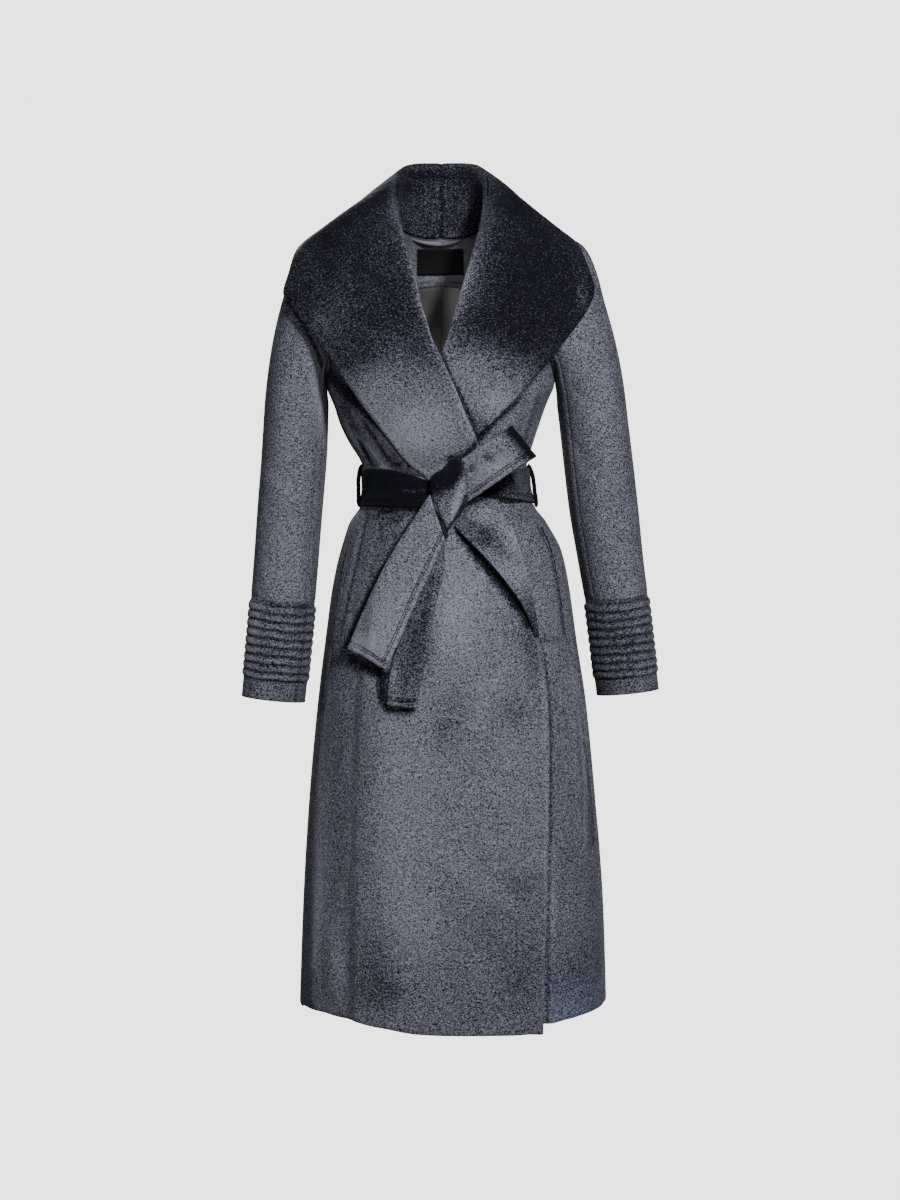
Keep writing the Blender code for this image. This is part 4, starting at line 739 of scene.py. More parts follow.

# Lines of painted shadow under edges, such as the collar's, the belt ends' and the lapel's over
# the front, of painted shade in folds, dark lines along seams, and painted highlights on ridges:
# half width, how much the tone changes in hundredths, and the line's x and z in the front view
PAINTED_LIGHT_LINES = {
    "neck_facing": [
        (1.6, -85, -39, -6, -28, -11.5, -5, -13.6, 18, -11.5, 29, -6),
        (2, -85, -60, -3, -20, 1, 20, 1, 60, -3), (1.6, -80, -50, -62.5, 50, -62.5)],
    "front_right": [
        (4.6, -45, -106.1, -386.1, -81.9, -392.9, -56.2, -394.2),
        (9.2, 16, -153.2, -450.5, -159.1, -560.6, -165.1, -671.3),
        (6.6, 22, -156.1, -505.5, -165.3, -699.1, -172.2, -866.5, -175.7, -1007.1),
        (5.3, -16, 136.5, -870.4, 137.1, -1064.3),
        (7.3, -50, -123.1, -554.5, -133.9, -573.4, -148.8, -593.7),
        (4, -60, -82.9, -592.3, -81.6, -635.6, -65.5, -647.8, -38.6, -645.1),
        (9.9, -97, -152.4, -196.3, -136.5, -212.2, -117.9, -232.1),
        (4.8, -85, -117.9, -232.1, -102, -250.7, -88.7, -265.3),
        (2.5, -92, -88.7, -265.3, -74.1, -281.2, -58.1, -301.2, -39.5, -324.5),
        (4.2, 22, -99.4, -266.2, -89.3, -276.4, -76.1, -289.6, -62.8, -302.9, -48.5, -318.2, -33.3,
         -330.4, -18, -337.6),
        (3.4, -70, -102.1, -265.3, -95.4, -275.4, -83.3, -291.7, -74.2, -310, -58.8, -321.2),
        (5, 26, -109.7, -281.5, -95.5, -296.8, -83.4, -310, -73.1, -323.3),
        (3, -90, -109.7, -291.7, -102.7, -303.9, -93.6, -321.2),
        (3.4, 16, -130, -261.2, -120, -283.5, -111.9, -299.9, -101.7, -321.2),
        (6.6, -45, -134, -238.7, -120.7, -262.6, -107.4, -281.2),
        (2, -55, -98.4, -381.2, -103.8, -409.3, -118.8, -473.7, -131, -526.2, -136.5, -554.5),
        (3.4, 10, -106.4, -386.6, -113.2, -420.1, -128.2, -487.2, -140.5, -534.3),
        (2.6, -60, -111.8, -381.2, -127.9, -409.3, -138.8, -454.9, -145.6, -487.2),
        (3.4, -92, -16.8, -363.9, -57, -422.7, -78.5, -460.3),
        (4.8, -92, -78.5, -460.3, -97.4, -496.6, -112.3, -528.9, -127.2, -565.3),
        (7.9, -97, -120.5, -582.8, -97.7, -590.9, -76.2, -599.1),
        (6.6, -95, -78.2, -603.1, -78.2, -622.1, -76.3, -638.3),
        (5.3, -92, -70.9, -647.8, -54.7, -650.5, -38.6, -649.2),
        (5.3, -97, 23.3, -409.3, 35.4, -424.1, 48.8, -437.5),
        (8, -99, 46.1, -436.1, 63.5, -457.6, 86.4, -484.5, 101.2, -506),
        (6.1, -97, 101.2, -506, 110.6, -519.4, 118.7, -535.6),
        (2.1, -55, 79.4, -370.6, 87.5, -385.3, 94.2, -401.3),
        (2, 14, 122.7, -538.3, 129.5, -557.2, 135.6, -590.9, 139.8, -622.1, 142.6, -673.6, 143,
         -771.6, 141.2, -857.7, 139.6, -971.8, 138.5, -1067.1),
        (4.2, -70, -81, -382.6, -54.3, -385.3, -16.8, -379.9),
        (4.2, -35, 39.3, -382.6, 79.5, -377.2, 114.2, -373.2),
        (4, -30, -91.7, -385.3, -83.7, -401.3, -78.4, -420.1),
        (4, -25, -65, -387.9, -59.7, -406.7, -62.4, -428.1)],
    "front_left": [
        (2.6, -62, 134.1, -555.9, 141, -591.2, 145.9, -623.8, 148.7, -675.6, 149.1, -774.1, 147.3,
         -860.7, 145.7, -975.4, 144.7, -1075.4),
        (10.6, -5, 142.4, -591.2, 152.1, -675.6, 152.8, -860.7, 149.4, -1064.3),
        (2.1, -55, 131, -401.9, 149.9, -439.6, 159.5, -482.8, 165.1, -523.4, 167.9, -554.5),
        (3.2, 10, 136.3, -401.9, 156.7, -442.3, 166.3, -488.2, 173.2, -542.3),
        (2.1, -45, 136.8, -557.3, 153, -557.3, 170.6, -554.5),
        (2.6, 20, 183.5, -570.8, 190.9, -675.6, 198.1, -745.3, 198.3, -837.3),
        (4, -40, 190.9, -570.8, 199.5, -675.6, 206.7, -760.4, 211.2, -842.8),
        (3.4, -88, 106.3, -231.8, 89, -247.8, 51.5, -282.6),
        (2.6, -50, 194.2, -117.5, 159.6, -158.6, 109, -227.8),
        (3.2, 20, 155.8, -210.5, 146.6, -246.5, 133.3, -286.6),
        (4, -35, 133.1, -230.5, 117.2, -275.9, 106.5, -306.6),
        (4.8, -85, 11.3, -312, 30, -309.3, 42.1, -298.6, 54.2, -282.6, 64.9, -269.2)],
    "sleeve_upper_right": [
        (3.2, -85, -212.8, -95.7, -189.8, -126.7, -171, -159.1, -158.9, -194.3)],
    "collar_left": [
        (9, -40, 40, 76, 64, 64, 86, 38),
        (3.2, -85, 15.2, -207.3, 28.5, -233.7, 40.4, -256.1, 49.8, -286.5),
        (3.2, -90, 0.7, -170.5, 7.3, -186.2, 12.6, -202),
        (4.8, -85, 11.3, -311.7, 29.9, -309.1, 41.8, -298.5, 53.7, -282.6, 64.3, -269.4),
        (2.6, -95, 0.6, 120, 0.6, -5), (7.5, 26, -46, -6, 0, -10, 46, -6)],
    "collar_right": [
        (9, -50, -56, 64, -70, 54, -100, 32, -130, 10),
        (2.1, -55, 78.9, -369.8, 86.8, -384.4, 93.5, -400.3),
        (2.9, 13, -201.9, -101.5, -184.9, -123.7, -164, -152.5, -145.6, -177.4, -122, -207.6,
         -70.7, -274.7, -35, -319.5, -16.5, -331.4),
        (4.8, -85, 11.3, -311.6, 29.8, -309, 41.7, -298.4, 53.6, -282.6, 64.1, -269.4),
        (2.6, -95, 0.6, 120, 0.6, -5), (7.5, 26, -46, -6, 0, -10, 46, -6)],
    "belt_band": [(1.7, 22, -49.1, -354.1, -33, -354.8, -16.9, -352.8)],
    "belt_knot": [(2.6, -85, 33.5, -362, 28.5, -375, 21.5, -388.5, 9, -406)],
    "belt_loop": [(3.2, 14, 37.8, -317, 52.4, -302.4, 65.6, -289.2, 81.5, -277.3)],
}

# Soft troughs (height below 0) and ridges in the front view: a line from x0, z0 to x1, z1 that
# bows sideways, and the width and height of its bell
CREASES = {piece: MM * np.array(rows) for piece, rows in {
    "front_right": [
        (-142, -214, -92, -320, 4, 5, -4.5), (-128, -226, -68, -322, 5, 4.5, -5),
        (-110, -240, -40, -326, 4, 4.5, -4.5), (-135, -222, -80, -322, 4, 4.5, 2.2),
        (-119, -240, -54, -325, 4, 4.5, 2.4), (-100, -390, -128, -600, 4, 8, -1.6),
        (-60, -385, -84, -470, 2, 6, -1.2), (79.6, -375, 96, -412, 0, 2.2, -1.8),
        (8, -620, 40, -800, -10, 20, -2.2), (69.2, -620, 20.2, -780, 8, 18, 1.8),
        (-18.6, -815, 113.1, -915, 8, 18, 1.6), (40, -880, 134.7, -900, -6, 16, -1.8),
        (-144, -900, -146, -1050, 3, 12, 2.2), (-60, -960, 50, -1080, 6, 24, -1.8)],
    "front_left": [
        (70, -240, 105, -320, -4, 6, -1.4), (120, -230, 106, -322, 3, 5, -1.6),
        (134.6, -558.2, 171.1, -555.5, 0, 1.4, -1), (155, -830, 158, -1000, 2, 9, 2.2),
        (183, -560, 197, -860, 3, 6, 2)],
    "back": [
        (-85, -300, -30, -230, 3, 8, -2.2), (90, -300, 40, -215, -3, 8, -2.4),
        (-50, -320, -20, -270, 2, 6, -1.6), (20, -322, 10, -260, 2, 6, -1.4),
        (-130, -180, -60, -120, 6, 12, -2.2), (140, -170, 70, -130, -6, 12, -2),
        (-70, -390, -92, -520, 3, 8, -2), (60, -392, 88, -560, -3, 8, -2.2),
        (0, -600, 30, -850, 8, 20, 2), (-80, -700, -100, -980, -6, 18, 2.2),
        (90, -760, 60, -980, 8, 20, -2.2)],
    "collar_right": [
        (-120, 12, -150, -50, 4, 16, -1.6), (-100, -120, -40, -200, 8, 22, 1.4),
        (-60, -190, -10, -290, 6, 16, -1.2)],
    "collar_left": [
        (110, 16, 150, -50, -4, 18, -1.6), (140, -60, 90, -160, -6, 20, 1.6),
        (80, -120, 40, -210, -4, 16, -1.2)],
    "belt_band": [(-60, -350, -15, -354, 1, 1.6, -1.2), (-58, -346, -18, -349, 1, 2, 0.8)],
    "belt_knot": [
        (-7.5, -370, 7.8, -408, 0.8, 1.2, -3.4), (12, -314, -4, -352, 3, 2.4, -2),
        (30, -330, 24, -370, -1, 1.8, -1.2)],
    "belt_loop": [
        (56, -308, 70, -315, 0, 7, -1.8), (38, -322, 45, -333, 0, 7, -1.8),
        (35, -342, 60, -332, 2, 3, -1.2), (36, -354, 52, -348, 1, 2.5, -1.2),
        (75, -296, 108, -302, 2, 10, 1.6)],
    "belt_tail_front": [(-20, -400, -70, -480, 4, 10, -2), (-50, -440, -95, -560, -4, 12, 1.2)],
    "belt_tail_rear": [(-30, -520, -46, -610, 3, 7, -2.4)],
}.items()}

# The same on the sleeves, round the arm in degrees from its inner side over the front, and up
ARM_DEGREE = 0.0011       # length of one degree round the arm
SLEEVE_CREASES = {label: np.array(rows) * ([ARM_DEGREE, MM] * 2 + [MM] * 3) for label, rows in {
    "right": [
        (60, -200, 150, -270, 6, 12, -1.6), (50, -300, 120, -345, 4, 10, -1.8),
        (150, -330, 60, -380, -4, 11, 1.4), (240, -180, 200, -300, 10, 14, -1.8),
        (300, -310, 230, -350, 4, 10, -2.2), (80, -430, 130, -480, 4, 12, -1),
        (130, -60, 120, -180, 6, 12, -1.4)],
    "left": [
        (55, -215, 140, -255, 4, 12, -1.8), (48, -290, 110, -350, 6, 10, -1.6),
        (140, -340, 70, -400, -4, 12, 1.4), (240, -200, 210, -320, 8, 14, -1.8),
        (300, -290, 225, -345, 4, 10, -2), (90, -420, 140, -470, 3, 12, -1.2),
        (125, -50, 115, -170, 6, 12, -1.2)],
}.items()}

# Where the cloth stands off its hard form: pieces, place in the front view, reach across and
# up, and how far it shifts across and up
EASE = {pieces: MM * np.array(rows) for pieces, rows in {
    "belt_knot": [(36, -364, 12, 30, 5.2, 0)],
    "collar_right": [
        (43, -262, 20, 36, -4.4, 0), (-6, -160, 20, 40, -4, 0), (-88, 40, 32, 60, 0, 5.2),
        (-184, -18, 18, 20, 0, 2.4), (-206, -60, 20, 24, 3.4, 0)],
    "belt_tail_front": [(-72, -582, 18, 16, -3.6, -3)],
    "belt_tail_rear": [(-70, -595, 12, 50, -3.6, 0), (-40, -637, 30, 15, 0, -2.2)],
    "front_right back": [
        (-182, -1045, 11, 30, 0, 2.6), (-147, -213, 30, 20, -5.8, 0),
        (-110, -352, 20, 15, 2.6, 0), (-128, -268, 34, 48, -6.8, 0),
        (-122, -400, 30, 22, -3.4, 0), (-170, -860, 30, 260, -2.4, 0)],
    "front_right": [
        (-140, -1060, 16, 30, 0, -2.4), (-72, -1075, 24, 30, 0, 2.2),
        (137, -1083, 13, 60, 0, -4.4), (20, -1083, 90, 80, 0, -1.6),
        (112, -1083, 30, 80, 0, -2.6)],
    "front_left back": [
        (147, -208, 20, 11, 2.6, 0), (126, -352, 20, 15, -2.4, 0), (142, -214, 24, 20, 4, 0),
        (140, -415, 30, 24, -2.6, 0)],
    "sleeve_upper_left sleeve_under_left": [
        (152, -208, 14, 11, -2.2, 0), (205, -62, 30, 30, 4.6, 2), (262, -380, 20, 140, 1.3, 0),
        (150, -214, 14, 20, -3, 0)],
    "collar_left": [
        (6, -160, 20, 40, 3.6, 0), (86, 50, 36, 60, 0, 9.6), (180, -24, 18, 26, 0, 2.2)],
    "belt_band": [(-110, -352, 16, 40, 1.6, 0), (126, -352, 16, 40, -1.4, 0)],
    "front_left": [(152, -1075, 14, 60, 0, -2.8)],
    "sleeve_upper_right sleeve_under_right": [
        (-232, -160, 40, 160, -3, 0), (-245, -390, 20, 60, -1.8, 0)],
}.items()}


def crease_relief(creases, x, z):
    """Sum of the creases: height times a bell of the distance to each bowed line, which fades
    over the line's last sixth and a little beyond its ends."""
    relief = np.zeros(np.broadcast(x, z).shape)
    for x0, z0, x1, z1, bow, width, height in creases:
        length = np.hypot(x1 - x0, z1 - z0)
        along = ((x - x0) * (x1 - x0) + (z - z0) * (z1 - z0)) / length ** 2
        off = ((x - x0) * (z1 - z0) - (z - z0) * (x1 - x0)) / length
        off = off - 4 * bow * np.clip(along, 0, 1) * (1 - np.clip(along, 0, 1))
        fade = ramp(along, -0.12, 0.16) * ramp(along, 1.12, 0.84)
        relief = relief + height * fade * bell(off, width)
    return relief


def line_distance(line, x, z):
    """Distance in the front view to a line of several straight stretches."""
    nearest = np.full(np.broadcast(x, z).shape, 9.0)
    for (x0, z0), (x1, z1) in zip(line, line[1:]):
        along = ((x - x0) * (x1 - x0) + (z - z0) * (z1 - z0)) / ((x1 - x0) ** 2 + (z1 - z0) ** 2)
        along = np.clip(along, 0, 1)
        away = np.hypot(x - x0 - along * (x1 - x0), z - z0 - along * (z1 - z0))
        nearest = np.minimum(nearest, away)
    return nearest


def painted_light_tone(name, points, normals):
    """Painted shade and sheen: paler where the cloth faces forwards and down, darker facing up."""
    x, z, backwards = points[..., 0], points[..., 2], normals[..., 1]
    facing = np.clip(normals @ np.array([0.08, -0.88, -0.42]), 0, 1)
    level = PIECE_TONE_AND_SHADE.get(name, 1.0)
    # Pieces painted dark in front keep an even tone where they face backwards.
    level = level + (0.85 - level) * ramp(backwards, 0.15, 0.55) * (level < 0.2)
    tone = (0.24 + 0.29 * facing ** 1.2) * level
    for px, pz, reach_x, reach_z, turn, amount in PAINTED_LIGHT_PATCHES.get(name, ()):
        c, s = np.cos(np.radians(turn)), np.sin(np.radians(turn))
        tone = tone + (amount * bell((x - px) * c + (z - pz) * s, reach_x)
                       * bell((z - pz) * c - (x - px) * s, reach_z))
    tone = np.clip(tone, *TONE_RANGE)
    for width, amount, *line in PAINTED_LIGHT_LINES.get(name, ()):
        away = line_distance(MM * np.reshape(line, (-1, 2)), x, z) / (MM * width)
        mark = 0.01 * amount * np.exp(-away ** (2 if amount > 0 else 3))
        # The painted lines are kept to faces turned forwards.
        mark = mark * ramp(backwards, 0.6, 0.2)
        tone = tone + mark * (np.maximum(tone, 0) + 0.10 if amount < 0 else 1.0)
    return np.clip(tone, *TONE_RANGE)


def eased(name, surface):
    """The surface with every shift of EASE that names the piece: a bell in the front view."""
    x, z = surface[..., 0], surface[..., 2]
    shifted = surface.copy()
    for pieces, rows in EASE.items():
        for px, pz, reach_x, reach_z, across, up in rows if name in pieces.split() else ():
            share = bell(x - px, reach_x) * bell(z - pz, reach_z)
            shifted += share[..., None] * (across, 0, up)
    return shifted


# ---------------------------------------------------------------- shells of cloth
def rim_indices(rows, columns):
    """The border of a grid as one loop of vertex numbers."""
    number = np.arange(rows * columns).reshape(rows, columns)
    return np.concatenate([number[0], number[1:, -1], number[-1, -2::-1], number[-2:0:-1, 0]])


def grid_quads(rows, columns):
    """Faces between the points of a grid."""
    corner = (np.arange(rows - 1)[:, None] * columns + np.arange(columns - 1)).ravel()
    return np.stack([corner, corner + 1, corner + columns + 1, corner + columns], axis=1)


def tube_quads(count, around, closed=False):
    """Faces between rings of `around` points. If closed, the last ring joins the first."""
    ring, spot = np.meshgrid(np.arange(count - (not closed)), np.arange(around), indexing="ij")
    after, beside = (ring + 1) % count, (spot + 1) % around
    return np.stack([ring * around + spot, ring * around + beside,
                     after * around + beside, after * around + spot], axis=-1).reshape(-1, 4)


def placed(name, data):
    """An object with this data, linked to the scene."""
    thing = bpy.data.objects.new(name, data)
    bpy.context.scene.collection.objects.link(thing)
    return thing


def store_values(mesh, name, values):
    """Stores a value for each of a mesh's first points, and 0 for the rest."""
    stored = np.zeros(len(mesh.vertices), np.float32)
    stored[:values.size] = values.ravel()
    mesh.attributes.new(name, "FLOAT", "POINT").data.foreach_set("value", stored)


def new_piece(name, vertices, quads, finishes, finish_of=None, tone_and_painted_light=None, nodes=()):
    """One mesh object on the coat's body. Its faces are turned out by the sign of its volume."""
    a, b, c, d = (vertices[quads[:, k]] for k in range(4))
    if np.sum(a * np.cross(b - d, c)) < 0:
        quads = quads[:, ::-1]
    mesh = bpy.data.meshes.new(name)
    mesh.vertices.add(len(vertices))
    mesh.vertices.foreach_set("co", np.ascontiguousarray(vertices, dtype=np.float32).ravel())
    mesh.loops.add(quads.size)
    mesh.loops.foreach_set("vertex_index", np.ascontiguousarray(quads, dtype=np.int32).ravel())
    mesh.polygons.add(len(quads))
    mesh.polygons.foreach_set("loop_start", np.arange(0, quads.size, 4, dtype=np.int32))
    for finish in finishes:
        mesh.materials.append(finish)
    if finish_of is not None:
        mesh.polygons.foreach_set("material_index", np.asarray(finish_of, dtype=np.int32))
    mesh.update(calc_edges=True)
    mesh.validate()
    mesh.shade_smooth()
    if tone_and_painted_light is not None:
        store_values(mesh, "tone_and_painted_light", tone_and_painted_light)
    piece = placed(name, mesh)
    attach(piece, "root")
    if nodes:
        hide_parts(*nodes)
    return piece


def seam_dip(surface, sides, depth, reach=0.0032):
    """How far a surface sinks at its sewn sides: a bell of the distance along the cloth."""
    dip = np.zeros(surface.shape[:2])
    for axis, names in ((1, ("start", "end")), (0, ("low", "high"))):
        run = run_along(surface, axis)
        for side, away in zip(names, (run, np.take(run, [-1], axis) - run)):
            if side in sides:
                dip = np.maximum(dip, depth * bell(away, reach))
    return dip


def shell(name, surface, outwards, finish=COAT, thickness=FRONT_CLOTH, lift=0.0, seams=(),
          inside=None, inside_mask=None, relief=0.0, shade=0.0, dip=0.0011,
          keep=None):
    """A piece of cloth: `surface` moved out by `lift`, its back `thickness` behind, edges rounded.

    seams names the sewn sides (start, end, low, high), where it dips. inside is the finish of
    the back and inside_mask tells which of the back's points have it. relief is added to the
    creases, and shade is painted light and shade added to the tone. keep holds some rows to one
    side of the shoulder line (y = 0): the side's sign, and which rows.
    """
    surface = eased(name, surface)
    normal = grid_normals(surface) * outwards
    relief = relief + crease_relief(CREASES.get(name, ()), surface[..., 0], surface[..., 2])
    outer = surface + normal * (lift - seam_dip(surface, seams, dip) + relief)[..., None]
    back = surface + normal * (lift - thickness + np.minimum(relief, 0))[..., None]
    for points in (outer, back) if keep else ():
        side, above = keep
        points[above, :, 1] = side * np.maximum(side * points[above, :, 1], SEAM)
    inward = np.zeros_like(surface)
    for grid, way in ((surface, inward), (surface.swapaxes(0, 1), inward.swapaxes(0, 1))):
        way[0] += grid[1] - grid[0]
        way[-1] += grid[-2] - grid[-1]
    rows, columns = surface.shape[:2]
    count, loop = rows * columns, rim_indices(rows, columns)
    flat_outer, flat_back = outer.reshape(-1, 3), back.reshape(-1, 3)
    bulge = unit(-inward.reshape(-1, 3)[loop]) * EDGE_BULGE * thickness
    rims = [flat_outer[loop] * (1 - t) + flat_back[loop] * t + bulge * np.sin(np.pi * t) ** 0.7
            for t in (0.22, 0.5, 0.78)]
    rings = [loop, *(2 * count + np.arange(3 * len(loop)).reshape(3, -1)), loop + count]
    sides = [np.stack([np.roll(a, -1), a, b, np.roll(b, -1)], axis=1)
             for a, b in zip(rings, rings[1:])]
    front = grid_quads(rows, columns)
    quads = np.concatenate([front, front[:, ::-1] + count, *sides])
    lined = np.full(count, inside is not None) if inside_mask is None else inside_mask.ravel()
    finish_of = np.zeros(len(quads), int)
    finish_of[len(front):2 * len(front)] = lined[front].all(axis=1)
    # The outer face takes its painted light and shade; the back a plain tone, and the edges three
    # quarters of the outer face's.
    tone = np.clip(painted_light_tone(name, outer, grid_normals(outer) * outwards) + shade, *TONE_RANGE)
    tone_and_painted_light = np.concatenate([tone.ravel(), np.where(lined, NAP_LINED, NAP_INSIDE),
                          np.tile(tone.ravel()[loop] * NAP_EDGE, 3)])
    piece = new_piece(name + "_cloth", np.concatenate([flat_outer, flat_back, *rims]), quads,
                      [finish] + ([inside] if inside else []), finish_of, tone_and_painted_light, (name,))
    return piece, outer


# ---------------------------------------------------------------- panels
def fine_levels(count):
    """Levels from the hem to the shoulder, closer together towards the shoulder's turn."""
    lower = np.linspace(HEM_LEVEL, -0.215, int(count * 0.66))
    upper = -0.205 * (1 - np.linspace(0, 1, count - len(lower))) ** 1.5
    upper[-1] = -0.00001
    return np.concatenate([lower, upper])


LEVELS = fine_levels(190)
HEM_FACING = LEVELS[:, None] < HEM_LEVEL + HEM_TURN_IN
# How far the hem swings up on the wearer's right, round which angle, and its reach to each side
HEM_SWING = {-1: 0.0135, 1: 0.0}
SWING_AT, SWING_REACH = -42.0, (27.0, 19.0)


def front_panel(name, side, lapel, edge, columns, lift, free_rise):
    """A front: from the side seam and armhole to the line behind the lapel and the free edge."""
    start = (side * panel_side(LEVELS, behind=False))[:, None]
    end = front_edge_angle(lapel, edge, side, LEVELS)[:, None]
    share = np.linspace(0, 1, columns)
    angle = start + (end - start) * share
    swing = HEM_SWING[side] * bell(angle - SWING_AT, np.where(angle < SWING_AT, *SWING_REACH))
    rise = (free_rise * ramp(share, 0.0, 0.25) + swing) * ramp(LEVELS[:, None], *HEM_FADE)
    surface = body_point(angle, LEVELS[:, None] + rise)
    surface[..., 1] -= SEAM * share
    piece, outer = shell(
        name, surface, side, lift=lift(surface[..., 0], surface[..., 2]) if lift else 0.0,
        seams=("start", "high"), inside=LINING, inside_mask=~((share > FRONT_FACING) | HEM_FACING),
        keep=(-1, LEVELS > UNDERARM_LEVEL))
    if side > 0:
        cool = (np.clip((outer[..., 0] - 0.135) / 0.02, 0, 1)
                * ramp(outer[..., 2], -0.995, -1.040))
        store_values(piece.data, "cool", cool)


def back_panel(columns=120):
    """The back, from side seam to side seam, scooped out at the neck."""
    share = np.linspace(-1, 1, columns)
    dipped = np.clip((LEVELS + NECK_SCOOP_DEPTH) / NECK_SCOOP_DEPTH, 0, 1)[:, None]
    level = LEVELS[:, None] + dipped * neck_scoop(180 + BACK_SHOULDER_END * share)
    angle = 180 + (180 - panel_side(LEVELS, behind=True))[:, None] * share
    surface = body_point(angle, level)
    surface[..., 1] += SEAM * (1 - np.abs(share)) - 0.0003
    shell("back", surface, -1, seams=("start", "end", "high"), inside=LINING,
          inside_mask=np.broadcast_to(~HEM_FACING, level.shape),
          keep=(1, LEVELS > UNDERARM_LEVEL))


# ---------------------------------------------------------------- collar
STAND_COLUMNS, FALL_COLUMNS = 22, 44
# A painted highlight along each collar's roll: its reach, how pale it is, the level where it is
# palest and its share away from there. Then the painted light on the stand against the shade
# there, and how far the collar's edge stays inside the shoulder.
COLLAR_PAINTED_LIGHT = {-1: (0.18, 0.46, -0.115, 0.60, 0.06, 0.0),
              1: (0.32, 0.60, -0.085, 0.34, 0.13, 0.0045)}


def collar_piece(name, side, lapel, rows):
    """One side's collar and lapel, with a painted highlight along its roll and painted light on
    its stand.
    """
    reach, tone, palest, least, stand_light, drawn_in = COLLAR_PAINTED_LIGHT[side]
    surface = collar_surface(side, lapel, rows, STAND_COLUMNS, FALL_COLUMNS)
    column = np.arange(surface.shape[1])
    row = np.linspace(0, 1, rows)[:, None]
    away = np.where(column < STAND_COLUMNS, 3.0, 1.0) * (column - STAND_COLUMNS) / FALL_COLUMNS
    # A painted highlight along the roll, and painted light on the stand against its shade.
    roll = bell(away, reach) * ramp(row, 0.08, 0.20) * tone
    roll = roll * (least + 0.66 * bell(surface[..., 2] - palest, 0.055))
    stand = stand_light * ramp(column, STAND_COLUMNS, STAND_COLUMNS - 3)
    drawn = drawn_in * bell(surface[:, -1:, 2] + 0.045, 0.040)
    surface[..., 0] -= side * drawn * np.clip(away, 0, 1) ** 1.5
    shell(name, surface, side, COLLAR_PILE[side], COLLAR_CLOTH, COLLAR_CLOTH / 2,
          seams=("low",), shade=roll + stand)


# ---------------------------------------------------------------- sleeves and cuffs
def sleeve_pieces(label, side, table):
    """The upper and the under sleeve: two strips of one surface, sewn along both seams."""
    front_seam, back_seam = SLEEVE_SEAMS
    for part, first, last, columns in (("upper", front_seam, back_seam, 84),
                                       ("under", back_seam - 360, front_seam, 36)):
        turn = np.linspace(first + SLEEVE_SEAM_ROOM, last - SLEEVE_SEAM_ROOM, columns)
        surface = sleeve_surface(side, table, turn, cap_rows=50, arm_rows=80,
                                 end_level=CUFF_LEVELS[side][0] + 0.0006)
        turn, z = turn[:, None], surface[..., 2]
        head = HEAD_FULLNESS[side] * bell(turn - 175, 48) * bell(z + 0.022, 0.026)
        creases = crease_relief(SLEEVE_CREASES[label], (turn % 360) * ARM_DEGREE, z)
        shell(f"sleeve_{part}_{label}", surface, -side, dip=0.0006, inside=LINING,
              seams=("low", "high", "start", "end"), relief=creases + head)


def rib_profile(distance):
    """Height of the cuff's ribs at a distance below its seam: a row of half-round rolls."""
    along = (distance - RIB_START) / RIB_PITCH
    inside = (along > 0) & (along < RIB_COUNT)
    return np.where(inside, RIB_HEIGHT * np.sqrt(np.abs(np.sin(np.pi * along))), 0.0)


def cuff_piece(label, side, table, around=96, rib_steps=14):
    """A closed tube: rolled ribs outside over a plain inside."""
    top, bottom = CUFF_LEVELS[side]
    ribs_end = RIB_START + RIB_COUNT * RIB_PITCH
    distance = np.concatenate([
        np.linspace(0, RIB_START, 4)[:-1],
        RIB_START + RIB_PITCH * np.arange(RIB_COUNT * rib_steps + 1) / rib_steps,
        np.linspace(ribs_end, top - bottom, 12)[1:]])[:, None]
    turn = np.linspace(0, 360, around, endpoint=False)
    heading = np.radians(turn)
    outward = np.stack([-side * np.cos(heading), -np.sin(heading), 0 * heading], axis=-1)
    outer, inner = (sleeve_ring(side, table, turn, top - at + 0 * turn)
                    for at in (distance, np.linspace(0, top - bottom, 12)[:, None]))
    wave = (0.0007 * np.sin(3 * heading + 40 * distance)
            + 0.0005 * np.sin(7 * heading - 90 * distance))
    rib = rib_profile(distance + wave)
    neck = 0.0012 * (bell(distance - 0.0012, 0.0009) + bell(distance - 0.0050, 0.0009))
    outer = outer + (0.95 * rib - neck)[..., None] * outward
    flattened = 0.0026 + 0.0026 * np.sin(heading).clip(0)
    outer[..., 2] += flattened * ramp(distance, ribs_end - 0.030, top - bottom)
    inner = inner - FRONT_CLOTH * outward
    inner[..., 2] += flattened * np.linspace(0, 1, 12)[:, None] ** 3
    rings = np.concatenate([outer, inner[::-1]])
    normal = grid_normals(np.concatenate([outer, outer[:, :1]], axis=1))[:, :-1]
    normal *= np.sign(np.sum(normal * outward))
    # Painted light and shade on the ribs: pale on their tops, dark in the grooves between them and
    # in the two grooves under the seam.
    high = np.where(distance < ribs_end, (rib / RIB_HEIGHT) ** 2.0, 0.78)
    high = np.where(distance < RIB_START, 0.75 - neck * 600, high)
    tone_and_painted_light = painted_light_tone(f"cuff_{label}", outer, normal) * 0.90 * high
    tone_and_painted_light = np.clip(tone_and_painted_light * (1 - 0.55 * bell(turn - 42.0, 2.4)), 0, 1)
    new_piece(f"cuff_{label}_cloth", rings.reshape(-1, 3), tube_quads(len(rings), around, True),
              [CUFF], None, np.concatenate([tone_and_painted_light.ravel(), np.full(inner.size // 3, NAP_INSIDE)]),
              nodes=(f"cuff_{label}",))


# ---------------------------------------------------------------- stitches
STITCH_PITCH = 0.0042
STITCH_LENGTH = 0.0030
STITCH_RADIUS = 0.00062
STITCH_INSETS = (0.0066, 0.0098)    # how far the two rows lie from a belt end's edges
STITCH_DIP = 0.0008                 # how far the cloth pulls in along them


def sewn_rows(distance):
    """1 on the two rows of stitches and 0 beside them, by the distance from a belt end's edge."""
    return sum(bell(distance - inset, 0.0009) for inset in STITCH_INSETS)


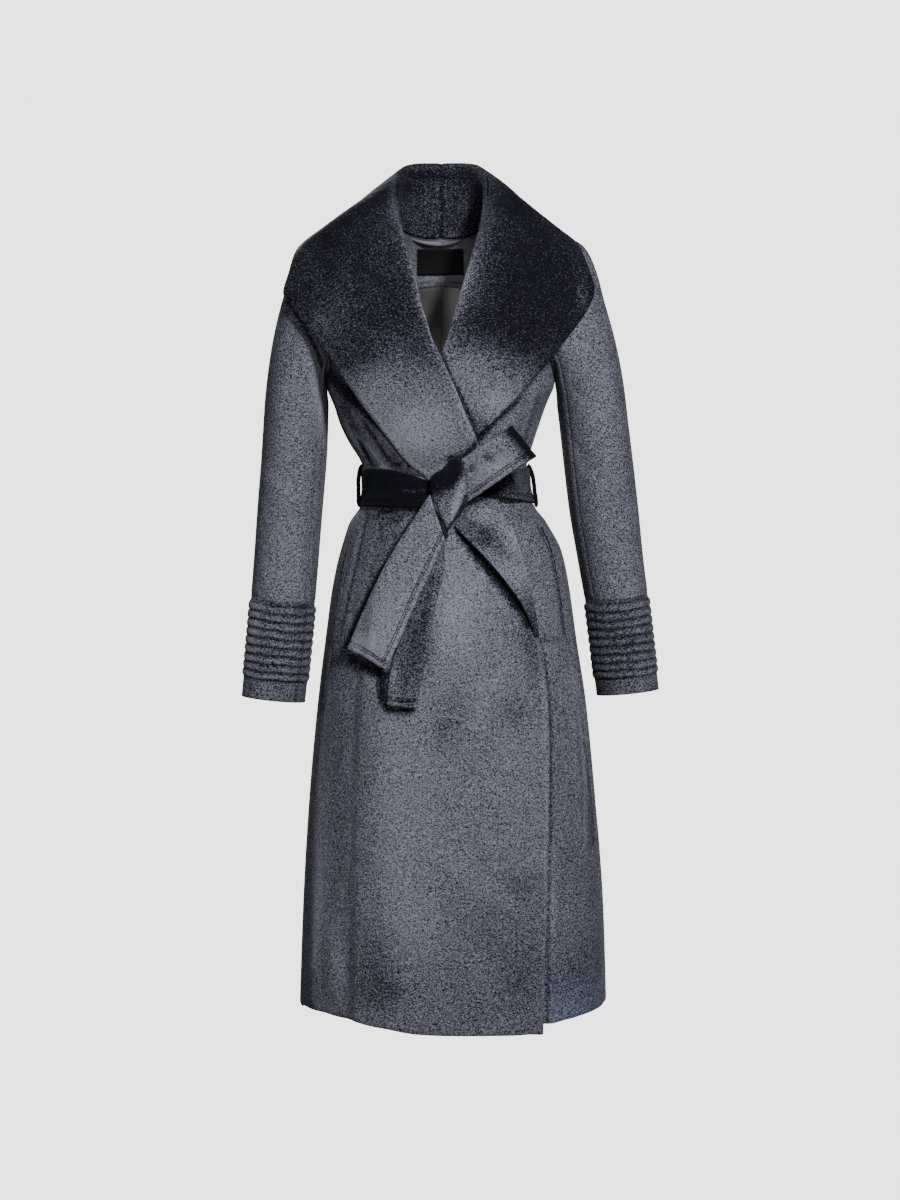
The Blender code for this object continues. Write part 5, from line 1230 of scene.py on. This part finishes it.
def on_grid(grid, row, column):
    """Points of a grid at fractional rows and columns, each blended from its four corners, and
    the grid's normals there."""
    r = np.clip(np.floor(row).astype(int), 0, grid.shape[0] - 2)
    c = np.clip(np.floor(column).astype(int), 0, grid.shape[1] - 2)
    u, v = (row - r)[:, None], (column - c)[:, None]
    return [(values[r, c] * (1 - v) + values[r, c + 1] * v) * (1 - u)
            + (values[r + 1, c] * (1 - v) + values[r + 1, c + 1] * v) * u
            for values in (grid, grid_normals(grid))]


def on_line(run, rows, at):
    """Rows of values along a line at the lengths `at`, where `run` is each row's own length."""
    return np.column_stack([np.interp(at, run, column) for column in rows.T])


def stitches(name, lines):
    """Thread along lines on the cloth: one short arched tube for each stitch, its ends sunk in.

    The four rings of a stitch lie at parts of its length, each ring a square round its middle.
    """
    parts = []
    for points, normals in lines:
        run = run_along(points)
        at = np.arange(STITCH_PITCH / 2, run[-1], STITCH_PITCH)
        way = on_line(run, points, at + 0.001) - on_line(run, points, at - 0.001)
        parts.append((on_line(run, points, at), way, on_line(run, normals, at)))
    place, way, up = (np.concatenate(part) for part in zip(*parts))
    way = unit(way)
    side = unit(np.cross(way, up))
    up = np.cross(side, way)
    along = np.array([-0.5, -0.3, 0.3, 0.5]) * STITCH_LENGTH
    size = np.array([0.5, 1.0, 1.0, 0.5])[:, None] * STITCH_RADIUS
    height = np.array([-0.6, 0.2, 0.2, -0.6])[:, None] * STITCH_RADIUS
    corner = np.radians([45, 135, 225, 315])
    points = (place[:, None, None] + way[:, None, None] * along[:, None, None]
              + side[:, None, None] * (size * np.cos(corner))[..., None]
              + up[:, None, None] * (height + size * np.sin(corner))[..., None])
    faces = np.concatenate([tube_quads(4, 4), [[3, 2, 1, 0], [12, 13, 14, 15]]])
    quads = (np.arange(len(place)) * 16)[:, None, None] + faces
    new_piece(name, points.reshape(-1, 3), quads.reshape(-1, 4), [THREAD])


# ---------------------------------------------------------------- belt
def belt_band_piece(sections=320, rows=17, stitched=900):
    """The band round the waist. Beside the knot it is drawn in from above on the wearer's right
    and from below on the left."""
    angle = np.linspace(KNOT_ANGLE + BELT_HALF_GAP, KNOT_ANGLE + 360 - BELT_HALF_GAP,
                        sections)[:, None]
    top = BELT_TOP - 0.0185 * bell(angle - 360, 21)
    bottom = BELT_BOTTOM + 0.0150 * bell(angle, 75)
    surface = body_point(angle, bottom + (top - bottom) * np.linspace(0, 1, rows))
    in_front = np.cos(np.radians(angle)) > 0
    lift = np.where(in_front, belt_lift(surface[:, rows // 2, None, 0]), BELT_CLEARANCE)
    rounding = 0.0008 * np.linspace(-1, 1, rows) ** 4
    normal = unit(grid_normals(surface) * (1, 1, 0.3))
    outer = surface + normal * (lift + BELT_THICKNESS - rounding)[..., None]
    _, face = shell("belt_band", outer, 1, thickness=BELT_CLOTH)
    at = np.linspace(0, sections - 1, stitched)
    rows_per_metre = (rows - 1) / (BELT_TOP - BELT_BOTTOM)
    stitches("belt_band_stitches", [on_grid(face, at, np.full(stitched, inset * rows_per_metre))
                                    for inset in STITCH_INSETS])


def laid_band_piece(name, table, side_rows=True, rows=110, columns=40):
    """A belt end laid over the skirt between its two edges, stitched along the right one and
    across its end: it pulls in a little along those rows and its edges are softly rolled."""
    table = spread_rows(table, rows)[:, None]
    left, right, high = table[..., 0:2], table[..., 2:4], table[..., 4]
    share = np.linspace(0, 1, columns)
    x, z = np.moveaxis(left + (right - left) * share[:, None], -1, 0)
    stand_off = top_layer_lift(x, z) + high + BELT_CROWN * (1 - (2 * share - 1) ** 4)
    surface = np.stack([x, front_y(x, z) - stand_off * slant(front_y, x, z), z], axis=-1)
    width = np.linalg.norm(surface[:, -1] - surface[:, 0], axis=-1)
    run = run_along(surface)
    from_end = run[-1] - run
    sewn = sewn_rows(from_end) + (sewn_rows(width[:, None] * (1 - share)) if side_rows else 0)
    # The cloth dips along the stitch rows and is painted darker there: painted shade in the dip.
    _, outer = shell(name, surface, 1, thickness=BELT_CLOTH, relief=-STITCH_DIP * sewn,
                     shade=-0.304 * sewn)
    at = np.linspace(0, rows - 1, 200)
    at = at[np.interp(at, np.arange(rows), from_end[:, -1]) > STITCH_INSETS[0]]
    margin = STITCH_INSETS[0] / width[-1]
    across = np.linspace(margin, 1 - margin, 60) * (columns - 1)
    lines = []
    for inset in STITCH_INSETS:
        if side_rows:
            column = (columns - 1) * (1 - inset / np.interp(at, np.arange(rows), width))
            lines.append(on_grid(outer, at, column))
        row = rows - 1 - inset / from_end[-2].mean()
        lines.append(on_grid(outer, np.full(60, row), across))
    stitches(name + "_stitches", lines)


def belt_loop_piece(sections=70, columns=36):
    """The half bow: out from under the knot to a rounded fold and back, flattened, its edges
    a little bowed and its front dimpled."""
    share = np.linspace(0, 1, columns)
    start = np.array((0.0300, -0.3715)) + np.array((-0.0085, 0.0530)) * share[:, None]
    end = np.array((0.1275, -0.3072)) + np.array((-0.0320, 0.0395)) * share[:, None]
    bend = np.radians(np.linspace(0, 180, 25)[1:-1])
    fold = LOOP_FOLD / np.linalg.norm(end - start, axis=1).mean()
    out = np.linspace(0, 1 - fold, sections)
    run = np.concatenate([out, 1 - fold * (1 - np.sin(bend)), out[::-1]])[:, None]
    gap = LOOP_FOLD * (0.40 + 0.60 * ramp(run, 0.0, 0.5)) + 0.0022 * np.sin(np.pi * run) ** 2
    face = np.concatenate([np.ones(sections), np.cos(bend), -np.ones(sections)])[:, None]
    x, z = np.moveaxis(start + run[..., None] * (end - start), -1, 0)
    bow = 0.0014 * np.sin(2 * np.pi * run) * (2 * share - 1)
    middle = LOOP_START_DEPTH + LOOP_REACH * ramp(run, 0.0, 0.9)
    crown = BELT_CROWN * (1 - np.abs(2 * share - 1) ** 2.6)
    y = -(middle + face * gap) - crown * ramp(run, 0.0, 0.3)
    surface = np.stack([x + 0.5 * bow, y, z + bow], axis=-1)
    hidden = (np.arange(len(run)) >= sections + 12)[:, None]
    width = np.linalg.norm(surface[:, -1] - surface[:, 0], axis=-1)
    sewn = sewn_rows(width[:, None] * share)
    creases = crease_relief(CREASES["belt_loop"], surface[..., 0], surface[..., 2])
    # The cloth dips along the stitch rows and is painted darker there: painted shade in the dip.
    _, outer = shell("belt_loop", surface, 1, thickness=BELT_CLOTH,
                     relief=-creases * hidden - STITCH_DIP * sewn, shade=-0.32 * sewn)
    at = np.linspace(0.12 * sections, sections - 1, 300)
    spread = np.interp(at, np.arange(len(run)), width)
    stitches("belt_loop_stitches", [on_grid(outer, at, inset / spread * (columns - 1))
                                    for inset in STITCH_INSETS])


def belt_knot_piece(rows=90, columns=81):
    """The knot: a puffed wrap of the band, its crest running from the loop down to the tip."""
    z, left, right, front, back = spread_rows(KNOT, rows).T[..., None]
    turn = np.radians(np.linspace(-90, 90, columns))
    x = (left + right) / 2 + (right - left) / 2 * np.sin(turn)
    crest = np.interp(z, *KNOT_CREST.T)
    ridge = 0.0060 * np.exp(-np.abs((x - crest) / 0.0085) ** 1.8) * ramp(z, -0.408, -0.385)
    y = -back - ((front - back) * 0.86 + ridge) * np.cos(turn) ** 0.55
    shell("belt_knot", np.stack([x, y, z + 0 * x], axis=-1), 1, thickness=BELT_CLOTH)


# ---------------------------------------------------------------- inside the neck
def neck_inside_pieces():
    """The facing below the neck seam, the back's lining with its centre pleat, and the label."""
    angle = np.linspace(*FACING_ENDS, 60)
    top = neck_scoop(angle) - 0.0006
    share = np.linspace(0, 1, 20)[:, None]
    facing = body_point(angle, FACING_BOTTOM + (top - FACING_BOTTOM) * share)
    shell("neck_facing", facing + (0, SEAM, 0), 1, finish=LIT_FACING_PILE, thickness=FACING_CLOTH,
          lift=FACING_DEPTH + FACING_CLOTH)
    levels = np.linspace(-0.326, FACING_BOTTOM - 0.0010, 60)[:, None]
    lining = body_point(180 + 64 * signed_power(SPREAD, 1.5), levels) + (0, SEAM, 0)
    pleat = lining[..., 0] - PLEAT_X
    shell("back_lining", lining, 1, finish=LINING, thickness=LINING_CLOTH,
          lift=LINING_DEPTH + LINING_CLOTH,
          relief=0.0016 * bell(pleat, 0.0040) - 0.0030 * bell(pleat, 0.0009))
    label = back_place(np.linspace(0.0326, -0.0344, 24)[None, :],
                       np.linspace(-0.0494, -0.0124, 14)[:, None])
    shell("neck_label", label, 1, finish=LABEL, thickness=LABEL_THICKNESS,
          lift=FACING_DEPTH + FACING_CLOTH + 0.0013 + LABEL_THICKNESS)


def hanger_piece():
    """The satin loop: a ribbon that sags between its two sewn ends below the neck seam."""
    t = np.linspace(0, 1, 60)
    sag = np.sin(np.pi * t)
    x, z = -0.0385 + 0.0670 * t, -0.0052 - 0.0044 * sag
    y = back_place(x, z)[:, 1] - HANGER_STAND_OFF + 0.0040 * (1 - sag)
    middle, up = np.column_stack([x, y, z])[:, None], np.array([0.0, 0.10, 0.99])
    out = unit(np.cross(np.gradient(middle, axis=0), up))
    share = np.linspace(-0.5, 0.5, 7)[:, None]
    width = (0.0020 + 0.0042 * sag ** 0.8)[:, None, None]
    surface = middle + up * width * share + out * 0.0005 * (1 - (2 * share) ** 2)
    piece, _ = shell("hanger_loop", surface, 1, finish=LOOP, thickness=0.0008)


def carrier_pieces():
    """Thread carriers at the sides: a round cord out of the coat, over the belt and back in."""
    for label, side in (("right", -1), ("left", 1)):
        level = np.linspace(BELT_TOP + 0.004, BELT_BOTTOM - 0.001, 50)
        path = body_point(np.full(50, side * CARRIER_ANGLE), level)
        path[:, 0] += side * (0.0008 + 0.0078 * np.sin(np.pi * np.linspace(0, 1, 50)) ** 0.45)
        way = unit(np.gradient(path, axis=0))
        first = unit(np.cross(way, (0.0, 1.0, 0.0)))
        second = np.cross(way, first)
        turn = np.radians(np.arange(0, 360, 30))[:, None]
        twist = 1 + 0.04 * np.cos(3 * turn + np.arange(50)[:, None, None] * 0.5)
        rings = (path[:, None] + CARRIER_THREAD * twist
                 * (first[:, None] * np.cos(turn) + second[:, None] * np.sin(turn)))
        piece = closed_tube(f"belt_carrier_{label}_thread", rings, (f"belt_carrier_{label}",))
        float(run_along(path)[-1])


def closed_tube(name, rings, nodes):
    """A tube of rings of 12 points, closed at each end by a fan of quads on a ring drawn in."""
    ends = rings[[0, -1]]
    ends = 0.7 * ends.mean(axis=1, keepdims=True) + 0.3 * ends
    rings = np.concatenate([ends[:1], rings, ends[1:]])
    count, around = rings.shape[:2]
    step = np.arange(1, around - 1, 2)
    fan = np.column_stack([0 * step, step, step + 1, step + 2])
    quads = np.concatenate([tube_quads(count, around), fan[:, ::-1], fan + (count - 1) * around])
    return new_piece(name, rings.reshape(-1, 3), quads, [THREAD], None,
                     np.full(count * around, 0.30), nodes)


def pocket_welt_pieces():
    """The pockets' edges: a narrow strip of cloth in front of each side seam."""
    for label, side in (("right", -1), ("left", 1)):
        level = np.linspace(-0.562, -0.405, 60)[:, None]
        surface = body_point(side * (side_angle(level) - np.linspace(0.8, 4.4, 10)), level)
        surface[..., 1] -= SEAM
        shell(f"pocket_welt_{label}", surface, side, thickness=0.0012, lift=0.0016)


# ---------------------------------------------------------------- camera, floor and lights
PAPER = (3.0, 3.0, 3.0, 1.0)        # the room's and the floor's own paleness
FLOOR_LEVEL, FLOOR_REACH = -1.45, 30.0
LIT_MIDDLE = (0.0, -0.05, -0.45)    # where every light points
# Lights: place, size of the disk, power
LIGHTS = {
    "key": ((1.45, -3.3, 1.8), 0.55, 293.0),
    "front_fill": ((-0.3, -3.8, -0.1), 2.0, 42.5),
    "side_fill_right": ((-3.2, -1.0, 0.2), 1.2, 34.0),
    "side_fill_left": ((3.2, -1.0, -0.4), 1.2, 16.0),
    "back_key": ((-1.2, 3.4, 1.4), 1.4, 130.0),
    "back_fill": ((1.6, 3.2, -0.3), 2.0, 50.0)}


def set_camera():
    """The camera in front of the coat, tipped a little down."""
    lens = bpy.data.cameras.new("camera")
    lens.sensor_width = 36.0
    lens.lens = 36.0 * 2142.86 / 1200.0
    camera = placed("camera", lens)
    camera.location = (0.0126, -2.9916, -0.2851)
    camera.rotation_euler = (np.radians(90 - 4.3), 0.0, 0.0)
    bpy.context.scene.camera = camera


def set_studio():
    """A pale floor below the coat, an even pale room and soft lights round it.

    Floor and room show their own even paleness and give the coat no light.
    """
    mesh = bpy.data.meshes.new("floor")
    mesh.from_pydata([(x * FLOOR_REACH, y * FLOOR_REACH, FLOOR_LEVEL)
                      for x, y in ((-1, -1), (1, -1), (1, 1), (-1, 1))], [], [(0, 1, 2, 3)])
    dye = Dye("floor_paper", 1.0, specular=0.0)
    dye.shader.inputs["Base Color"].default_value = (0, 0, 0, 1.0)
    dye.shader.inputs["Emission Color"].default_value = PAPER
    dye.shader.inputs["Emission Strength"].default_value = 1.0
    mesh.materials.append(dye.material)
    floor = placed("floor", mesh)
    floor.visible_diffuse = floor.visible_glossy = floor.visible_shadow = False
    world = bpy.data.worlds.new("studio")
    world.use_nodes = True
    background = world.node_tree.nodes["Background"]
    background.inputs["Color"].default_value = PAPER
    background.inputs["Strength"].default_value = 1.0
    world.cycles_visibility.diffuse = world.cycles_visibility.glossy = False
    bpy.context.scene.world = world
    for name, (place, size, power) in LIGHTS.items():
        lamp = bpy.data.lights.new(name, "AREA")
        lamp.shape, lamp.size, lamp.energy = "DISK", size, power
        light = placed(name, lamp)
        light.location = place
        way = Vector(LIT_MIDDLE) - light.location
        light.rotation_euler = way.to_track_quat("-Z", "Y").to_euler()


front_panel("front_right", -1, LAPEL_RIGHT, EDGE_RIGHT, 110, top_layer_lift, 0.0)
front_panel("front_left", 1, LAPEL_LEFT, EDGE_LEFT, 90, None, UNDER_HEM_RISE)
back_panel()
collar_piece("collar_right", -1, LAPEL_RIGHT, 230)
collar_piece("collar_left", 1, LAPEL_LEFT, 180)
sleeve_pieces("right", -1, SLEEVE_RIGHT)
sleeve_pieces("left", 1, SLEEVE_LEFT)
cuff_piece("right", -1, SLEEVE_RIGHT)
cuff_piece("left", 1, SLEEVE_LEFT)
belt_band_piece()
laid_band_piece("belt_tail_front", TAIL_FRONT)
laid_band_piece("belt_tail_rear", TAIL_REAR, side_rows=False)
belt_loop_piece()
belt_knot_piece()
neck_inside_pieces()
hanger_piece()
carrier_pieces()
pocket_welt_pieces()
set_camera()
set_studio()
